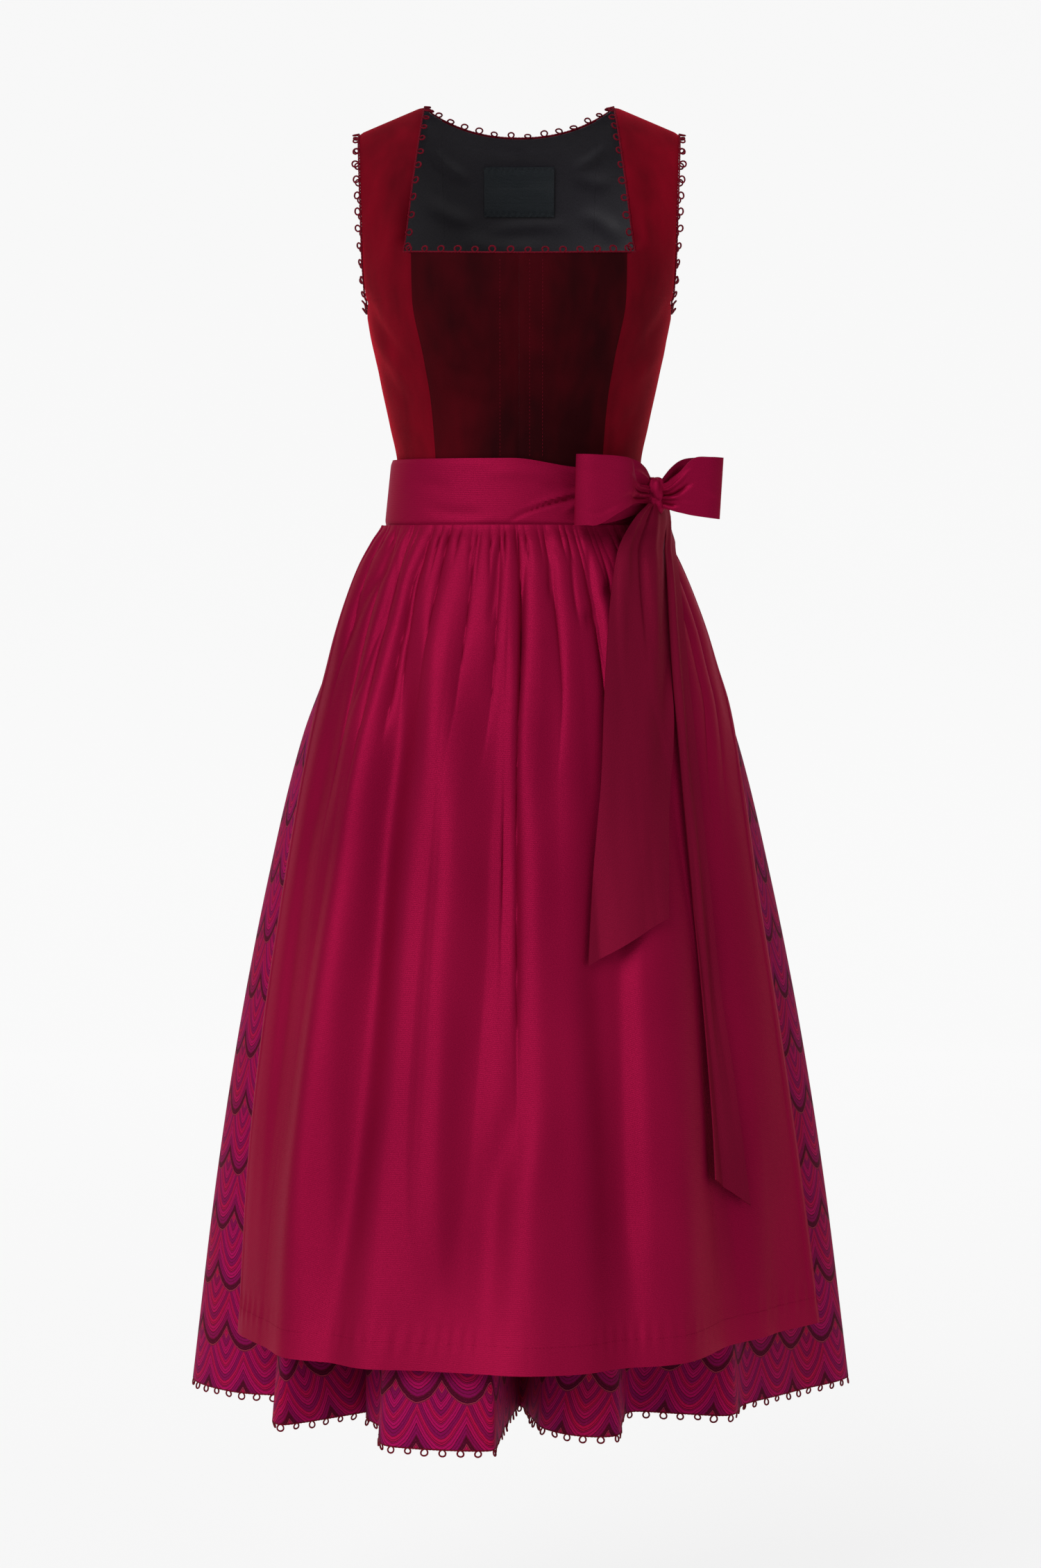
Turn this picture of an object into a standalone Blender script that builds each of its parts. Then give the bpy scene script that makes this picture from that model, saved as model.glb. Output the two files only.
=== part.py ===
# A sleeveless dirndl: velvet bodice with a square neckline, gathered cotton skirt, satin apron tied
# with a bow, and picot loops along the neckline, the armholes and the hem.
# The dress hangs as worn. x runs to the wearer's left, y to the back and z up, in metres, and the
# origin lies between the shoulders at the height where the straps rest.
import math
from collections import namedtuple

import bmesh
import bpy
import numpy as np

# Cloth thicknesses and gaps
VELVET = 0.0016
LINING = 0.0008
COTTON = 0.0012
SATIN = 0.0012
BAND_CLOTH = 0.0018
SEAM_GAP = 0.0004
SKIRT_SEAM = 0.0005

# Heights of the dress
WAIST_Z = -0.365
UNDERARM_Z = -0.184
NECKLINE_Z = -0.143
BACK_NECK_DROP = 0.023
BAND_TOP_Z = -0.3320
BAND_BOTTOM_Z = -0.3940
APRON_HEM_Z = -1.143
HEM_Z = -1.213

# Shoulders, neckline and armholes
NECK_HALF_TOP = 0.0895
NECK_HALF_FRONT = 0.1075
SHOULDER_SLOPE = 0.42
SHOULDER_SPREAD = 0.180
ARMHOLE_ANGLE = math.radians(77)
ARMHOLE_DIP = 0.0095
NECK_ROLL = 0.011

# How square the rings of the torso are, and how full the slope from chest to shoulder is
CHEST_POWER = 2.25
FRONT_SLOPE_POWER = 1.7
BACK_SLOPE_POWER = 2.3

# Signs of the two sides along y
FRONT, BACK = -1, 1

Ring = namedtuple("Ring", "z half_width front back")
BODICE_RINGS = (
    Ring(-0.400, 0.1185, 0.0980, 0.0865),
    Ring(-0.365, 0.1130, 0.0935, 0.0815),
    Ring(-0.336, 0.1140, 0.0945, 0.0815),
    Ring(-0.300, 0.1210, 0.0985, 0.0840),
    Ring(-0.256, 0.1305, 0.1085, 0.0890),
    Ring(-0.217, 0.1385, 0.1190, 0.0940),
    Ring(-0.184, 0.1455, 0.1230, 0.0970),
)
SKIRT_RINGS = (
    Ring(-0.3655, 0.1155, 0.0955, 0.0835),
    Ring(-0.394, 0.1230, 0.1010, 0.0900),
    Ring(-0.410, 0.1325, 0.1100, 0.1010),
    Ring(-0.4286, 0.1430, 0.1210, 0.1130),
    Ring(-0.462, 0.1580, 0.1360, 0.1290),
    Ring(-0.495, 0.1710, 0.1480, 0.1420),
    Ring(-0.528, 0.1820, 0.1580, 0.1530),
    Ring(-0.594, 0.2065, 0.1760, 0.1710),
    Ring(-0.726, 0.2395, 0.2040, 0.2000),
    Ring(-0.892, 0.2725, 0.2310, 0.2280),
    Ring(-1.025, 0.2935, 0.2490, 0.2450),
    Ring(-1.213, 0.3175, 0.2690, 0.2650),
)

# Seams that run from top to bottom, as distances from the centre at some heights
Seam = namedtuple("Seam", "z x")
FRONT_SEAM = (
    Seam(-0.370, 0.0755),
    Seam(-0.330, 0.0775),
    Seam(-0.280, 0.0815),
    Seam(-0.240, 0.0880),
    Seam(-0.184, 0.0985),
    Seam(-0.140, 0.0995),
)
BACK_SEAM = (
    Seam(-0.370, 0.0450),
    Seam(-0.280, 0.0510),
    Seam(-0.184, 0.0660),
    Seam(-0.100, 0.0730),
    Seam(0.000, 0.0750),
)
ARMHOLE_EDGE = (
    Seam(-0.190, 0.1432),
    Seam(-0.150, 0.1455),
    Seam(-0.100, 0.1470),
    Seam(-0.050, 0.1490),
    Seam(-0.020, 0.1505),
)

# The deep folds of the skirt at the hem, seen from above. They go round from the wearer's right,
# across the front, to the back: crests, the valleys between them, and steep walls.
HemPoint = namedtuple("HemPoint", "place x y")
HEM_FOLDS = (
    HemPoint("right side crest", -0.3150, 0.004),
    HemPoint("right side crest", -0.2660, -0.068),
    HemPoint("right side valley", -0.2070, -0.086),
    HemPoint("right front crest", -0.2190, -0.202),
    HemPoint("right front valley", -0.1290, -0.140),
    HemPoint("right front wall", -0.1420, -0.163),
    HemPoint("front wall", -0.1260, -0.205),
    HemPoint("front crest", -0.1170, -0.284),
    HemPoint("front crest", -0.0230, -0.302),
    HemPoint("front wall", -0.0130, -0.205),
    HemPoint("front valley", 0.0010, -0.120),
    HemPoint("left front wall", 0.0110, -0.165),
    HemPoint("left front crest", 0.0200, -0.212),
    HemPoint("left front crest", 0.0860, -0.246),
    HemPoint("left front wall", 0.0930, -0.192),
    HemPoint("left front valley", 0.1020, -0.146),
    HemPoint("left shallow crest", 0.1520, -0.156),
    HemPoint("left shallow crest", 0.1970, -0.163),
    HemPoint("left shallow valley", 0.2070, -0.122),
    HemPoint("left side crest", 0.2640, -0.058),
    HemPoint("left side crest", 0.3190, 0.012),
    HemPoint("left side valley", 0.2640, 0.074),
    HemPoint("left back crest", 0.2680, 0.130),
    HemPoint("left back valley", 0.1690, 0.142),
    HemPoint("left rear crest", 0.2130, 0.182),
    HemPoint("left rear crest", 0.1590, 0.236),
    HemPoint("left rear valley", 0.0680, 0.158),
    HemPoint("back crest", 0.0860, 0.264),
    HemPoint("back crest", 0.0420, 0.282),
    HemPoint("back crest", -0.0460, 0.278),
    HemPoint("back valley", -0.0520, 0.156),
    HemPoint("right rear crest", -0.0920, 0.264),
    HemPoint("right rear crest", -0.1650, 0.230),
    HemPoint("right rear valley", -0.1600, 0.138),
    HemPoint("right back crest", -0.2250, 0.188),
    HemPoint("right back crest", -0.2780, 0.122),
    HemPoint("right back valley", -0.2650, 0.064),
)

# The apron at its hem, seen from above, from the wearer's right to the left
ApronPoint = namedtuple("ApronPoint", "x y")
APRON_HEM = (
    ApronPoint(-0.265, -0.085),
    ApronPoint(-0.249, -0.147),
    ApronPoint(-0.229, -0.210),
    ApronPoint(-0.182, -0.264),
    ApronPoint(-0.132, -0.296),
    ApronPoint(-0.083, -0.310),
    ApronPoint(-0.006, -0.318),
    ApronPoint(0.045, -0.324),
    ApronPoint(0.102, -0.291),
    ApronPoint(0.148, -0.262),
    ApronPoint(0.180, -0.218),
    ApronPoint(0.203, -0.176),
    ApronPoint(0.228, -0.136),
    ApronPoint(0.262, -0.104),
    ApronPoint(0.282, -0.084),
)
# Directions of its two upright edges, in degrees from the front
ApronEdge = namedtuple("ApronEdge", "z right left")
APRON_EDGES = (
    ApronEdge(-0.394, -83.0, 88.0),
    ApronEdge(-0.450, -79.7, 87.5),
    ApronEdge(-0.545, -75.3, 84.0),
    ApronEdge(-0.589, -72.5, 78.8),
    ApronEdge(-0.639, -70.8, 74.5),
    ApronEdge(-0.770, -67.5, 71.0),
    ApronEdge(-1.143, -64.5, 73.4),
)

# Soft folds of the apron: direction at the band and at the hem, how deep, how wide, and the height
# at which each is deepest. A positive depth is a ridge and a negative one a trough.
ApronFold = namedtuple("ApronFold", "top hem depth width peak_z")
APRON_FOLDS = (
    ApronFold(-66, -60, 0.010, 7.5, -0.95),
    ApronFold(-53, -50, -0.012, 6.5, -0.80),
    ApronFold(-44, -41, 0.012, 5.0, -0.85),
    ApronFold(-33, -32, -0.008, 4.5, -0.80),
    ApronFold(-25, -25, 0.008, 5.0, -0.72),
    ApronFold(-13, -17, -0.020, 7.5, -0.90),
    ApronFold(1, -1, 0.013, 5.5, -0.85),
    ApronFold(11, 8, -0.006, 4.0, -0.75),
    ApronFold(20, 15, -0.012, 5.5, -1.00),
    ApronFold(33, 27, 0.007, 6.0, -1.00),
    ApronFold(51, 43, -0.010, 5.5, -0.95),
    ApronFold(66, 58, 0.008, 6.5, -0.95),
)

# Gathers: how many and how deep
SKIRT_GATHER_DEPTH = 0.0020
SKIRT_GATHER_REACH = 0.20
SKIRT_COLUMN = 0.0285
SKIRT_ROWS = (-0.3656, -0.395, -0.412, -0.435, -0.475, -0.54, -0.63, -0.75, -0.89, -1.05, HEM_Z)
APRON_GATHERS = 31
APRON_GATHER_DEPTH = 0.0026
APRON_GATHER_REACH = 0.15
APRON_STANDOFF = 0.0062
APRON_CLEARANCE = 0.0070
APRON_ROWS = (0, 0.02, 0.055, 0.11, 0.18, 0.28, 0.41, 0.56, 0.71, 0.86, 1.0)

# The waistband and its tie: their ring, where the band starts and ends, and half the gap there
BAND_RINGS = (
    Ring(BAND_BOTTOM_Z, 0.1278, 0.1075, 0.0965),
    Ring(BAND_TOP_Z, 0.1214, 0.1010, 0.0895),
)
BAND_POWER = 2.12
BAND_START = math.radians(-96)
BAND_END = math.radians(62)
BAND_SEAM = 0.0015

# The bow, on the wearer's left. Its loops are lines seen from above, with a height at each point.
KNOT_ANGLE = math.radians(69.4)
KNOT_Z = -0.364
KNOT_SIZE = (0.0118, 0.0118, 0.0155)
BowPoint = namedtuple("BowPoint", "x y z")
RIGHT_LOOP = (
    BowPoint(0.1150, -0.0535, -0.364),
    BowPoint(0.1045, -0.0735, -0.363),
    BowPoint(0.0860, -0.0905, -0.362),
    BowPoint(0.0660, -0.1025, -0.362),
    BowPoint(0.0520, -0.1130, -0.362),
    BowPoint(0.0560, -0.1245, -0.362),
    BowPoint(0.0770, -0.1205, -0.362),
    BowPoint(0.0985, -0.1030, -0.362),
    BowPoint(0.1120, -0.0830, -0.363),
    BowPoint(0.1180, -0.0590, -0.364),
)
LEFT_LOOP = (
    BowPoint(0.1396, -0.0430, -0.364),
    BowPoint(0.1530, -0.0385, -0.361),
    BowPoint(0.1740, -0.0330, -0.360),
    BowPoint(0.1925, -0.0330, -0.359),
    BowPoint(0.1945, -0.0420, -0.359),
    BowPoint(0.1880, -0.0530, -0.360),
    BowPoint(0.1700, -0.0590, -0.361),
    BowPoint(0.1530, -0.0580, -0.363),
    BowPoint(0.1396, -0.0525, -0.364),
)
# Half height of each loop at the knot and where it is full, how soon it is full, and its lean
LoopShape = namedtuple("LoopShape", "knot_half full_half reach lean")
RIGHT_LOOP_SHAPE = LoopShape(0.0130, 0.0325, 0.50, 0.0)
LEFT_LOOP_SHAPE = LoopShape(0.0140, 0.0290, 0.42, -0.03)
LOOP_POINTS = 15
LOOP_PLEAT = 0.002

# The tails hang over the apron: the middle of the ribbon as an angle, and its half width
TailRow = namedtuple("TailRow", "z angle half_width")
SHORT_TAIL = (
    TailRow(-0.3798, 64.2, 0.0115),
    TailRow(-0.400, 60.0, 0.016),
    TailRow(-0.430, 52.5, 0.020),
    TailRow(-0.473, 44.0, 0.0235),
    TailRow(-0.548, 36.0, 0.030),
    TailRow(-0.623, 30.5, 0.0325),
    TailRow(-0.686, 26.5, 0.0325),
    TailRow(-0.7575, 23.8, 0.0325),
)
LONG_TAIL = (
    TailRow(-0.3794, 74.8, 0.009),
    TailRow(-0.400, 73.5, 0.010),
    TailRow(-0.430, 71.0, 0.010),
    TailRow(-0.473, 65.5, 0.0095),
    TailRow(-0.548, 56.5, 0.010),
    TailRow(-0.649, 50.5, 0.0105),
    TailRow(-0.715, 47.5, 0.011),
    TailRow(-0.801, 45.0, 0.012),
    TailRow(-0.915, 44.0, 0.0165),
    TailRow(-0.9955, 44.0, 0.0195),
)
# How much higher one corner of the end is than the other, and how far the tail lies off the apron
SHORT_TAIL_SLANT, SHORT_TAIL_LIFT = 0.040, 0.0045
LONG_TAIL_SLANT, LONG_TAIL_LIFT = -0.029, 0.0040
TAIL_ROWS, TAIL_COLUMNS = 14, 5

# The blank label inside the back
LABEL_TOP_Z = -0.047
LABEL_BOTTOM_Z = -0.094
LABEL_HALF = 0.034
LABEL_CLOTH = 0.0008
LABEL_GAP = 0.0006

# Picot loops: thread, the width and height of a loop, and how far the thread runs off each edge
PICOT_THREAD = 0.0006
PICOT_WIDTH = 0.0062
PICOT_HEIGHT = 0.0046
PICOT_PITCH = 0.0170
NECK_PICOT_OUT = 0.0026
ARMHOLE_PICOT_OUT = 0.0018
HEM_PICOT_OUT = 0.0010


def clear_scene():
    for thing in list(bpy.data.objects):
        bpy.data.objects.remove(thing)


def make_material(name, colour, roughness, sheen=0.0):
    material = bpy.data.materials.new(name)
    material.use_nodes = True
    shader = material.node_tree.nodes["Principled BSDF"]
    shader.inputs["Base Color"].default_value = (*colour, 1.0)
    shader.inputs["Roughness"].default_value = roughness
    shader.inputs["Metallic"].default_value = 0.0
    shader.inputs["Sheen Weight"].default_value = sheen
    return material


# Curves through a few points


def slopes_of(xs, ys):
    """Slopes that keep a curve through the points from overshooting."""
    steps = np.diff(xs)
    rates = np.diff(ys) / steps
    slopes = np.zeros(len(xs))
    for i in range(1, len(xs) - 1):
        if rates[i - 1] * rates[i] > 0:
            before = 2 * steps[i] + steps[i - 1]
            after = steps[i] + 2 * steps[i - 1]
            slopes[i] = (before + after) / (before / rates[i - 1] + after / rates[i])
    slopes[0], slopes[-1] = rates[0], rates[-1]
    return slopes


def through(xs, ys, at):
    """A smooth curve through the points, read at the places given."""
    xs, ys = np.asarray(xs, float), np.asarray(ys, float)
    order = np.argsort(xs)
    xs, ys = xs[order], ys[order]
    slopes = slopes_of(xs, ys)
    at = np.clip(np.asarray(at, float), xs[0], xs[-1])
    k = np.clip(np.searchsorted(xs, at) - 1, 0, len(xs) - 2)
    step = xs[k + 1] - xs[k]
    t = (at - xs[k]) / step
    return (
        ys[k] * (1 + 2 * t) * (1 - t) ** 2
        + slopes[k] * step * t * (1 - t) ** 2
        + ys[k + 1] * t * t * (3 - 2 * t)
        + slopes[k + 1] * step * t * t * (t - 1)
    )


def ring_size(rings, z):
    heights = [ring.z for ring in rings]
    columns = ("half_width", "front", "back")
    return [through(heights, [getattr(r, c) for r in rings], z) for c in columns]


def seam_x(seam, z):
    return through([s.z for s in seam], [s.x for s in seam], z)


def signed_power(value, power):
    return np.sign(value) * np.abs(value) ** power


def smooth(t):
    t = np.clip(t, 0.0, 1.0)
    return t * t * (3 - 2 * t)


# The bodice. Its skin is read by an angle from the centre of the front or back, and by a rise: at
# 0 or less it is metres below the underarm, and from 0 to 1 it climbs to the top of the shoulder.


def ridge_z(x):
    """Height of the shoulder line at a distance from the centre."""
    return -SHOULDER_SLOPE * np.maximum(np.abs(x) - NECK_HALF_TOP, 0.0)


def skin(side, angle, rise):
    depth_power = FRONT_SLOPE_POWER if side == FRONT else BACK_SLOPE_POWER
    z_low = UNDERARM_Z + np.minimum(rise, 0.0)
    half_width, front, back = ring_size(BODICE_RINGS, z_low)
    depth = front if side == FRONT else back
    lift = np.maximum(rise, 0.0) * math.pi / 2
    climb = signed_power(np.sin(lift), 2 / depth_power)
    lean = signed_power(np.cos(lift), 2 / depth_power)
    half_width = half_width + (SHOULDER_SPREAD - half_width) * np.sin(lift)
    x = half_width * signed_power(np.sin(angle), 2 / CHEST_POWER)
    y = side * depth * signed_power(np.cos(angle), 2 / CHEST_POWER) * lean
    z = z_low + (ridge_z(x) - UNDERARM_Z) * climb
    return np.stack([x, y, z], axis=-1)


def angle_at(x, side, rise):
    """The angle at which the skin is that far from the centre."""
    z_low = UNDERARM_Z + np.minimum(rise, 0.0)
    half_width = ring_size(BODICE_RINGS, z_low)[0]
    lift = np.maximum(rise, 0.0) * math.pi / 2
    half_width = half_width + (SHOULDER_SPREAD - half_width) * np.sin(lift)
    return np.arcsin(np.clip(x / half_width, 0, 1) ** (CHEST_POWER / 2))


def rise_at(z, x, side):
    """The rise at which the skin reaches a height above the underarm."""
    power = FRONT_SLOPE_POWER if side == FRONT else BACK_SLOPE_POWER
    share = np.clip((z - UNDERARM_Z) / (ridge_z(x) - UNDERARM_Z), 0, 1)
    return np.where(
        z > UNDERARM_Z,
        np.arcsin(share ** (power / 2)) / (math.pi / 2),
        z - UNDERARM_Z,
    )


def skin_out(side, angle, rise):
    """Direction straight out of the skin."""
    turn, lift = 0.01, 0.006
    across = skin(side, angle + turn, rise) - skin(side, angle - turn, rise)
    up = skin(side, angle, rise + lift) - skin(side, angle, rise - lift)
    out = np.cross(up, across) * side
    return out / np.linalg.norm(out, axis=-1, keepdims=True)


def layer(side, angle, rise, inner, outer):
    """Inner and outer faces of a cloth layer that lies on the skin."""
    points = skin(side, angle, rise)
    out = skin_out(side, angle, rise)
    return points + out * inner, points + out * outer


def mirrored(grid):
    return grid * np.array([-1.0, 1.0, 1.0])


def add_wall(name, inner, outer, material, wrap=False, missing=()):
    """A closed cloth wall between two grids of points. Cells listed as missing are left open."""
    rows, columns = inner.shape[:2]
    bm = bmesh.new()
    made = {}

    def corner(face, i, j):
        key = (face, i, j % columns if wrap else j)
        if key not in made:
            made[key] = bm.verts.new((outer if face else inner)[key[1], key[2]])
        return made[key]

    sides = {}
    for i in range(rows - 1):
        for j in range(columns if wrap else columns - 1):
            if (i, j) in missing:
                continue
            loop = [(i, j), (i, j + 1), (i + 1, j + 1), (i + 1, j)]
            for half in (loop[:3], [loop[2], loop[3], loop[0]]):
                bm.faces.new([corner(1, *p) for p in half])
                bm.faces.new([corner(0, *p) for p in reversed(half)])
            for a, b in zip(loop, loop[1:] + loop[:1]):
                a = (a[0], a[1] % columns if wrap else a[1])
                b = (b[0], b[1] % columns if wrap else b[1])
                sides[(a, b)] = True
    for a, b in sides:
        if (b, a) not in sides:
            bm.faces.new([corner(1, *b), corner(1, *a), corner(0, *a), corner(0, *b)])
    bmesh.ops.recalc_face_normals(bm, faces=bm.faces)
    return add_mesh(name, bm, material)


def add_mesh(name, bm, material):
    mesh = bpy.data.meshes.new(name)
    bm.to_mesh(mesh)
    bm.free()
    mesh.materials.append(material)
    mesh.shade_smooth()
    mesh.set_sharp_from_angle(angle=math.radians(50))
    thing = bpy.data.objects.new(name, mesh)
    bpy.context.scene.collection.objects.link(thing)
    return thing


def blend_columns(start, end, shares):
    return start[:, None] + (end - start)[:, None] * np.asarray(shares)[None, :]


def seam_levels(side, seam, low_rows, high_rows, z_top):
    """Heights of the rows where two panels meet, from the waist to the neckline."""
    low = np.linspace(WAIST_Z, UNDERARM_Z, low_rows + 1)
    top = float(rise_at(z_top, seam_x(seam, z_top), side))
    power = FRONT_SLOPE_POWER if side == FRONT else BACK_SLOPE_POWER
    climb = np.sin(np.linspace(0, top, high_rows + 1) * math.pi / 2) ** (2 / power)
    high = UNDERARM_Z + (z_top - UNDERARM_Z) * climb / climb[-1]
    return np.concatenate([low, high[1:]])


def centre_panel(side, start, seam, levels, columns, top_of):
    """Angles and rises of a panel from a start beside the centre line to a seam."""
    shares = np.linspace(0, 1, columns + 1)
    x_top = start + (seam_x(seam, levels[-1]) - SEAM_GAP / 2 - start) * shares
    above = np.clip((levels - UNDERARM_Z) / (levels[-1] - UNDERARM_Z), 0, 1)[:, None]
    z = np.minimum(levels, UNDERARM_Z)[:, None] + (top_of(x_top)[None, :] - UNDERARM_Z) * above
    edge = seam_x(seam, levels)[:, None] - SEAM_GAP / 2
    x = start + (edge - start) * shares[None, :]
    rise = rise_at(z, np.abs(x), side)
    return np.sign(x) * angle_at(np.abs(x), side, rise), rise


def side_panel(side, seam, levels, neck, strap_columns, under_columns):
    """Angles and rises of a panel from its seam to the side seam, with its half of the strap."""
    columns = strap_columns + under_columns
    z_flat = levels[levels <= UNDERARM_Z + 1e-6]
    low_rows = len(z_flat) - 1
    low = (z_flat - WAIST_Z) / (UNDERARM_Z - WAIST_Z)
    inner = angle_at(seam_x(seam, z_flat) + SEAM_GAP / 2, side, z_flat - UNDERARM_Z)
    side_seam = np.full_like(inner, math.pi / 2 - 0.0018)
    armhole = np.full_like(inner, ARMHOLE_ANGLE)
    angle = np.concatenate(
        [
            blend_columns(inner, armhole, np.linspace(0, 1, strap_columns + 1)),
            blend_columns(armhole, side_seam, np.linspace(0, 1, under_columns + 1)[1:]),
        ],
        axis=1,
    )
    past = np.clip((np.arange(columns + 1) - strap_columns) / under_columns, 0, 1)
    top = UNDERARM_Z - ARMHOLE_DIP * np.sin(past * math.pi / 2)
    rise = (WAIST_Z + (top[None, :] - WAIST_Z) * low[:, None]) - UNDERARM_Z

    shares = np.linspace(0, 1, strap_columns + 1)
    power = FRONT_SLOPE_POWER if side == FRONT else BACK_SLOPE_POWER
    strap_angle, strap_rise = [], []
    for x_in, lift in neck:
        climb = math.sin(lift * math.pi / 2) ** (2 / power)
        x_out = seam_x(ARMHOLE_EDGE, UNDERARM_Z + (ridge_z(0.12) - UNDERARM_Z) * climb)
        row_rise = np.full(strap_columns + 1, lift)
        strap_angle.append(angle_at(x_in + (x_out - x_in) * shares, side, row_rise))
        strap_rise.append(row_rise)
    spare = np.full((len(strap_angle), under_columns), 0.5)
    angle = np.concatenate([angle, np.concatenate([strap_angle, spare], axis=1)])
    rise = np.concatenate([rise, np.concatenate([strap_rise, spare], axis=1)])
    missing = {
        (i, j)
        for i in range(low_rows, low_rows + len(strap_angle))
        for j in range(strap_columns, columns)
    }
    return angle, rise, missing


def seam_rows(side, seam, levels):
    """Edge of a strap along its seam with the centre panel."""
    high = levels[levels > UNDERARM_Z + 1e-6]
    x = seam_x(seam, high)
    return [(float(a) + SEAM_GAP / 2, float(rise_at(z, a, side))) for a, z in zip(x, high)]


def front_neck_rows(lift_from, count):
    """Edge of the front strap, from the corner of the neckline to the shoulder."""
    rows = []
    for k in range(count + 1):
        lift = lift_from + 0.012 + (1 - lift_from - 0.012) * k / count
        z = UNDERARM_Z - UNDERARM_Z * math.sin(lift * math.pi / 2) ** (2 / FRONT_SLOPE_POWER)
        rows.append((NECK_HALF_TOP + (NECK_HALF_FRONT - NECK_HALF_TOP) * z / NECKLINE_Z, lift))
    return rows


def front_neck_z(x):
    return NECKLINE_Z - 0.0025 * (1 - np.minimum(x / seam_x(FRONT_SEAM, NECKLINE_Z), 1) ** 2)


def back_neck_z(x):
    return -BACK_NECK_DROP * (1 - np.minimum(np.abs(x) / NECK_HALF_TOP, 1) ** 2.2)


def back_neck_rows(count):
    """Edge of the back strap along the neckline, from its seam to the shoulder."""
    x = np.linspace(float(seam_x(BACK_SEAM, 0.0)), NECK_HALF_TOP, count + 1)[1:]
    return [(float(a), float(rise_at(back_neck_z(a), a, BACK))) for a in x]


def roll_in(grid, angle_share):
    """Turns the neckline edge of the strap in towards the wearer above the corner."""
    z = grid[..., 2]
    height = smooth((z - NECKLINE_Z) / 0.012) * smooth((-0.070 - z) / 0.050)
    grid = grid.copy()
    grid[..., 1] += NECK_ROLL * height * np.maximum(1 - angle_share * 3.2, 0) ** 1.5
    return grid


def add_bodice(velvet, lining):
    levels = seam_levels(FRONT, FRONT_SEAM, 6, 2, NECKLINE_Z)
    angle, rise = centre_panel(FRONT, SEAM_GAP / 2, FRONT_SEAM, levels, 4, front_neck_z)
    add_pair("bodice_centre_front", layer(FRONT, angle, rise, 0.0, VELVET), velvet)
    edge = seam_rows(FRONT, FRONT_SEAM, levels)
    edge += front_neck_rows(edge[-1][1], 7)
    angle, rise, missing = side_panel(FRONT, FRONT_SEAM, levels, edge, 4, 2)
    rise[-1] -= 0.004
    share = np.clip(np.arange(angle.shape[1]) / 4, 0, 1)[None, :]
    walls = [roll_in(wall, share) for wall in layer(FRONT, angle, rise, 0.0, VELVET)]
    add_pair("bodice_side_front", walls, velvet, missing)

    z_top = float(back_neck_z(seam_x(BACK_SEAM, 0.0)))
    levels = seam_levels(BACK, BACK_SEAM, 5, 6, z_top)
    edge = seam_rows(BACK, BACK_SEAM, levels)
    edge += back_neck_rows(3)
    side_grid = side_panel(BACK, BACK_SEAM, levels, edge, 4, 2)
    side_grid[1][-1] -= 0.002
    half = centre_panel(BACK, 0.0, BACK_SEAM, levels, 3, back_neck_z)
    angle = np.concatenate([-half[0][:, :0:-1], half[0]], axis=1)
    rise = np.concatenate([half[1][:, :0:-1], half[1]], axis=1)
    for kind, material, inner, outer in (
        ("bodice", velvet, 0.0, VELVET),
        ("lining", lining, -SEAM_GAP - LINING, -SEAM_GAP),
    ):
        walls = layer(BACK, *side_grid[:2], inner, outer)
        add_pair(f"{kind}_side_back", walls, material, side_grid[2])
        add_wall(f"{kind}_centre_back", *layer(BACK, angle, rise, inner, outer), material)


def add_pair(name, walls, material, missing=()):
    add_wall(f"{name}_left", walls[0], walls[1], material, missing=missing)
    add_wall(f"{name}_right", mirrored(walls[0]), mirrored(walls[1]), material, missing=missing)


def add_label(material):
    """A blank woven label, on the lining of the back."""
    x = np.linspace(-LABEL_HALF, LABEL_HALF, 5)[None, :]
    z = np.linspace(LABEL_BOTTOM_Z, LABEL_TOP_Z, 4)[:, None]
    x, z = np.broadcast_arrays(x, z)
    rise = rise_at(z, x, BACK)
    angle = np.sign(x) * angle_at(np.abs(x), BACK, rise)
    outer = -2 * SEAM_GAP - LINING - LABEL_GAP
    add_wall("label", *layer(BACK, angle, rise, outer - LABEL_CLOTH, outer), material)


# The skirt. Every height is a closed curve round the z axis, read by the angle from the front. It
# goes from a plain ring at the waist to the deep folds of the hem.


def fold_points():
    angles = np.array([math.atan2(point.x, -point.y) for point in HEM_FOLDS])
    radii = np.array([math.hypot(point.x, point.y) for point in HEM_FOLDS])
    order = np.argsort(angles)
    return angles[order], radii[order]


def hem_radius(angle):
    angles, radii = fold_points()
    turn = 2 * math.pi
    around = np.concatenate([angles - turn, angles, angles + turn])
    return through(around, np.tile(radii, 3), (angle + math.pi) % turn - math.pi)


def ring_radius(rings, angle, z):
    half_width, front, back = ring_size(rings, z)
    depth = np.where(np.cos(angle) > 0, front, back)
    return 1 / np.sqrt((np.sin(angle) / half_width) ** 2 + (np.cos(angle) / depth) ** 2)


def fall_share(z):
    """0 at the bottom of the waistband and 1 at the hem."""
    return np.clip((BAND_BOTTOM_Z - z) / (BAND_BOTTOM_Z - HEM_Z), 0, 1)


def spread_share(z):
    """Size of the skirt at a height, as a share of its size at the hem."""
    return ring_size(SKIRT_RINGS, z)[0] / ring_size(SKIRT_RINGS, HEM_Z)[0]


def skirt_radius(angle, z):
    share = fall_share(z)
    plain = ring_radius(SKIRT_RINGS, angle, z)
    folded = hem_radius(angle) * spread_share(z)
    return plain * (1 - share) + folded * share


def around(angle, radius, z):
    z = np.broadcast_to(z, radius.shape)
    return np.stack([radius * np.sin(angle), -radius * np.cos(angle), z], axis=-1)


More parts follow.
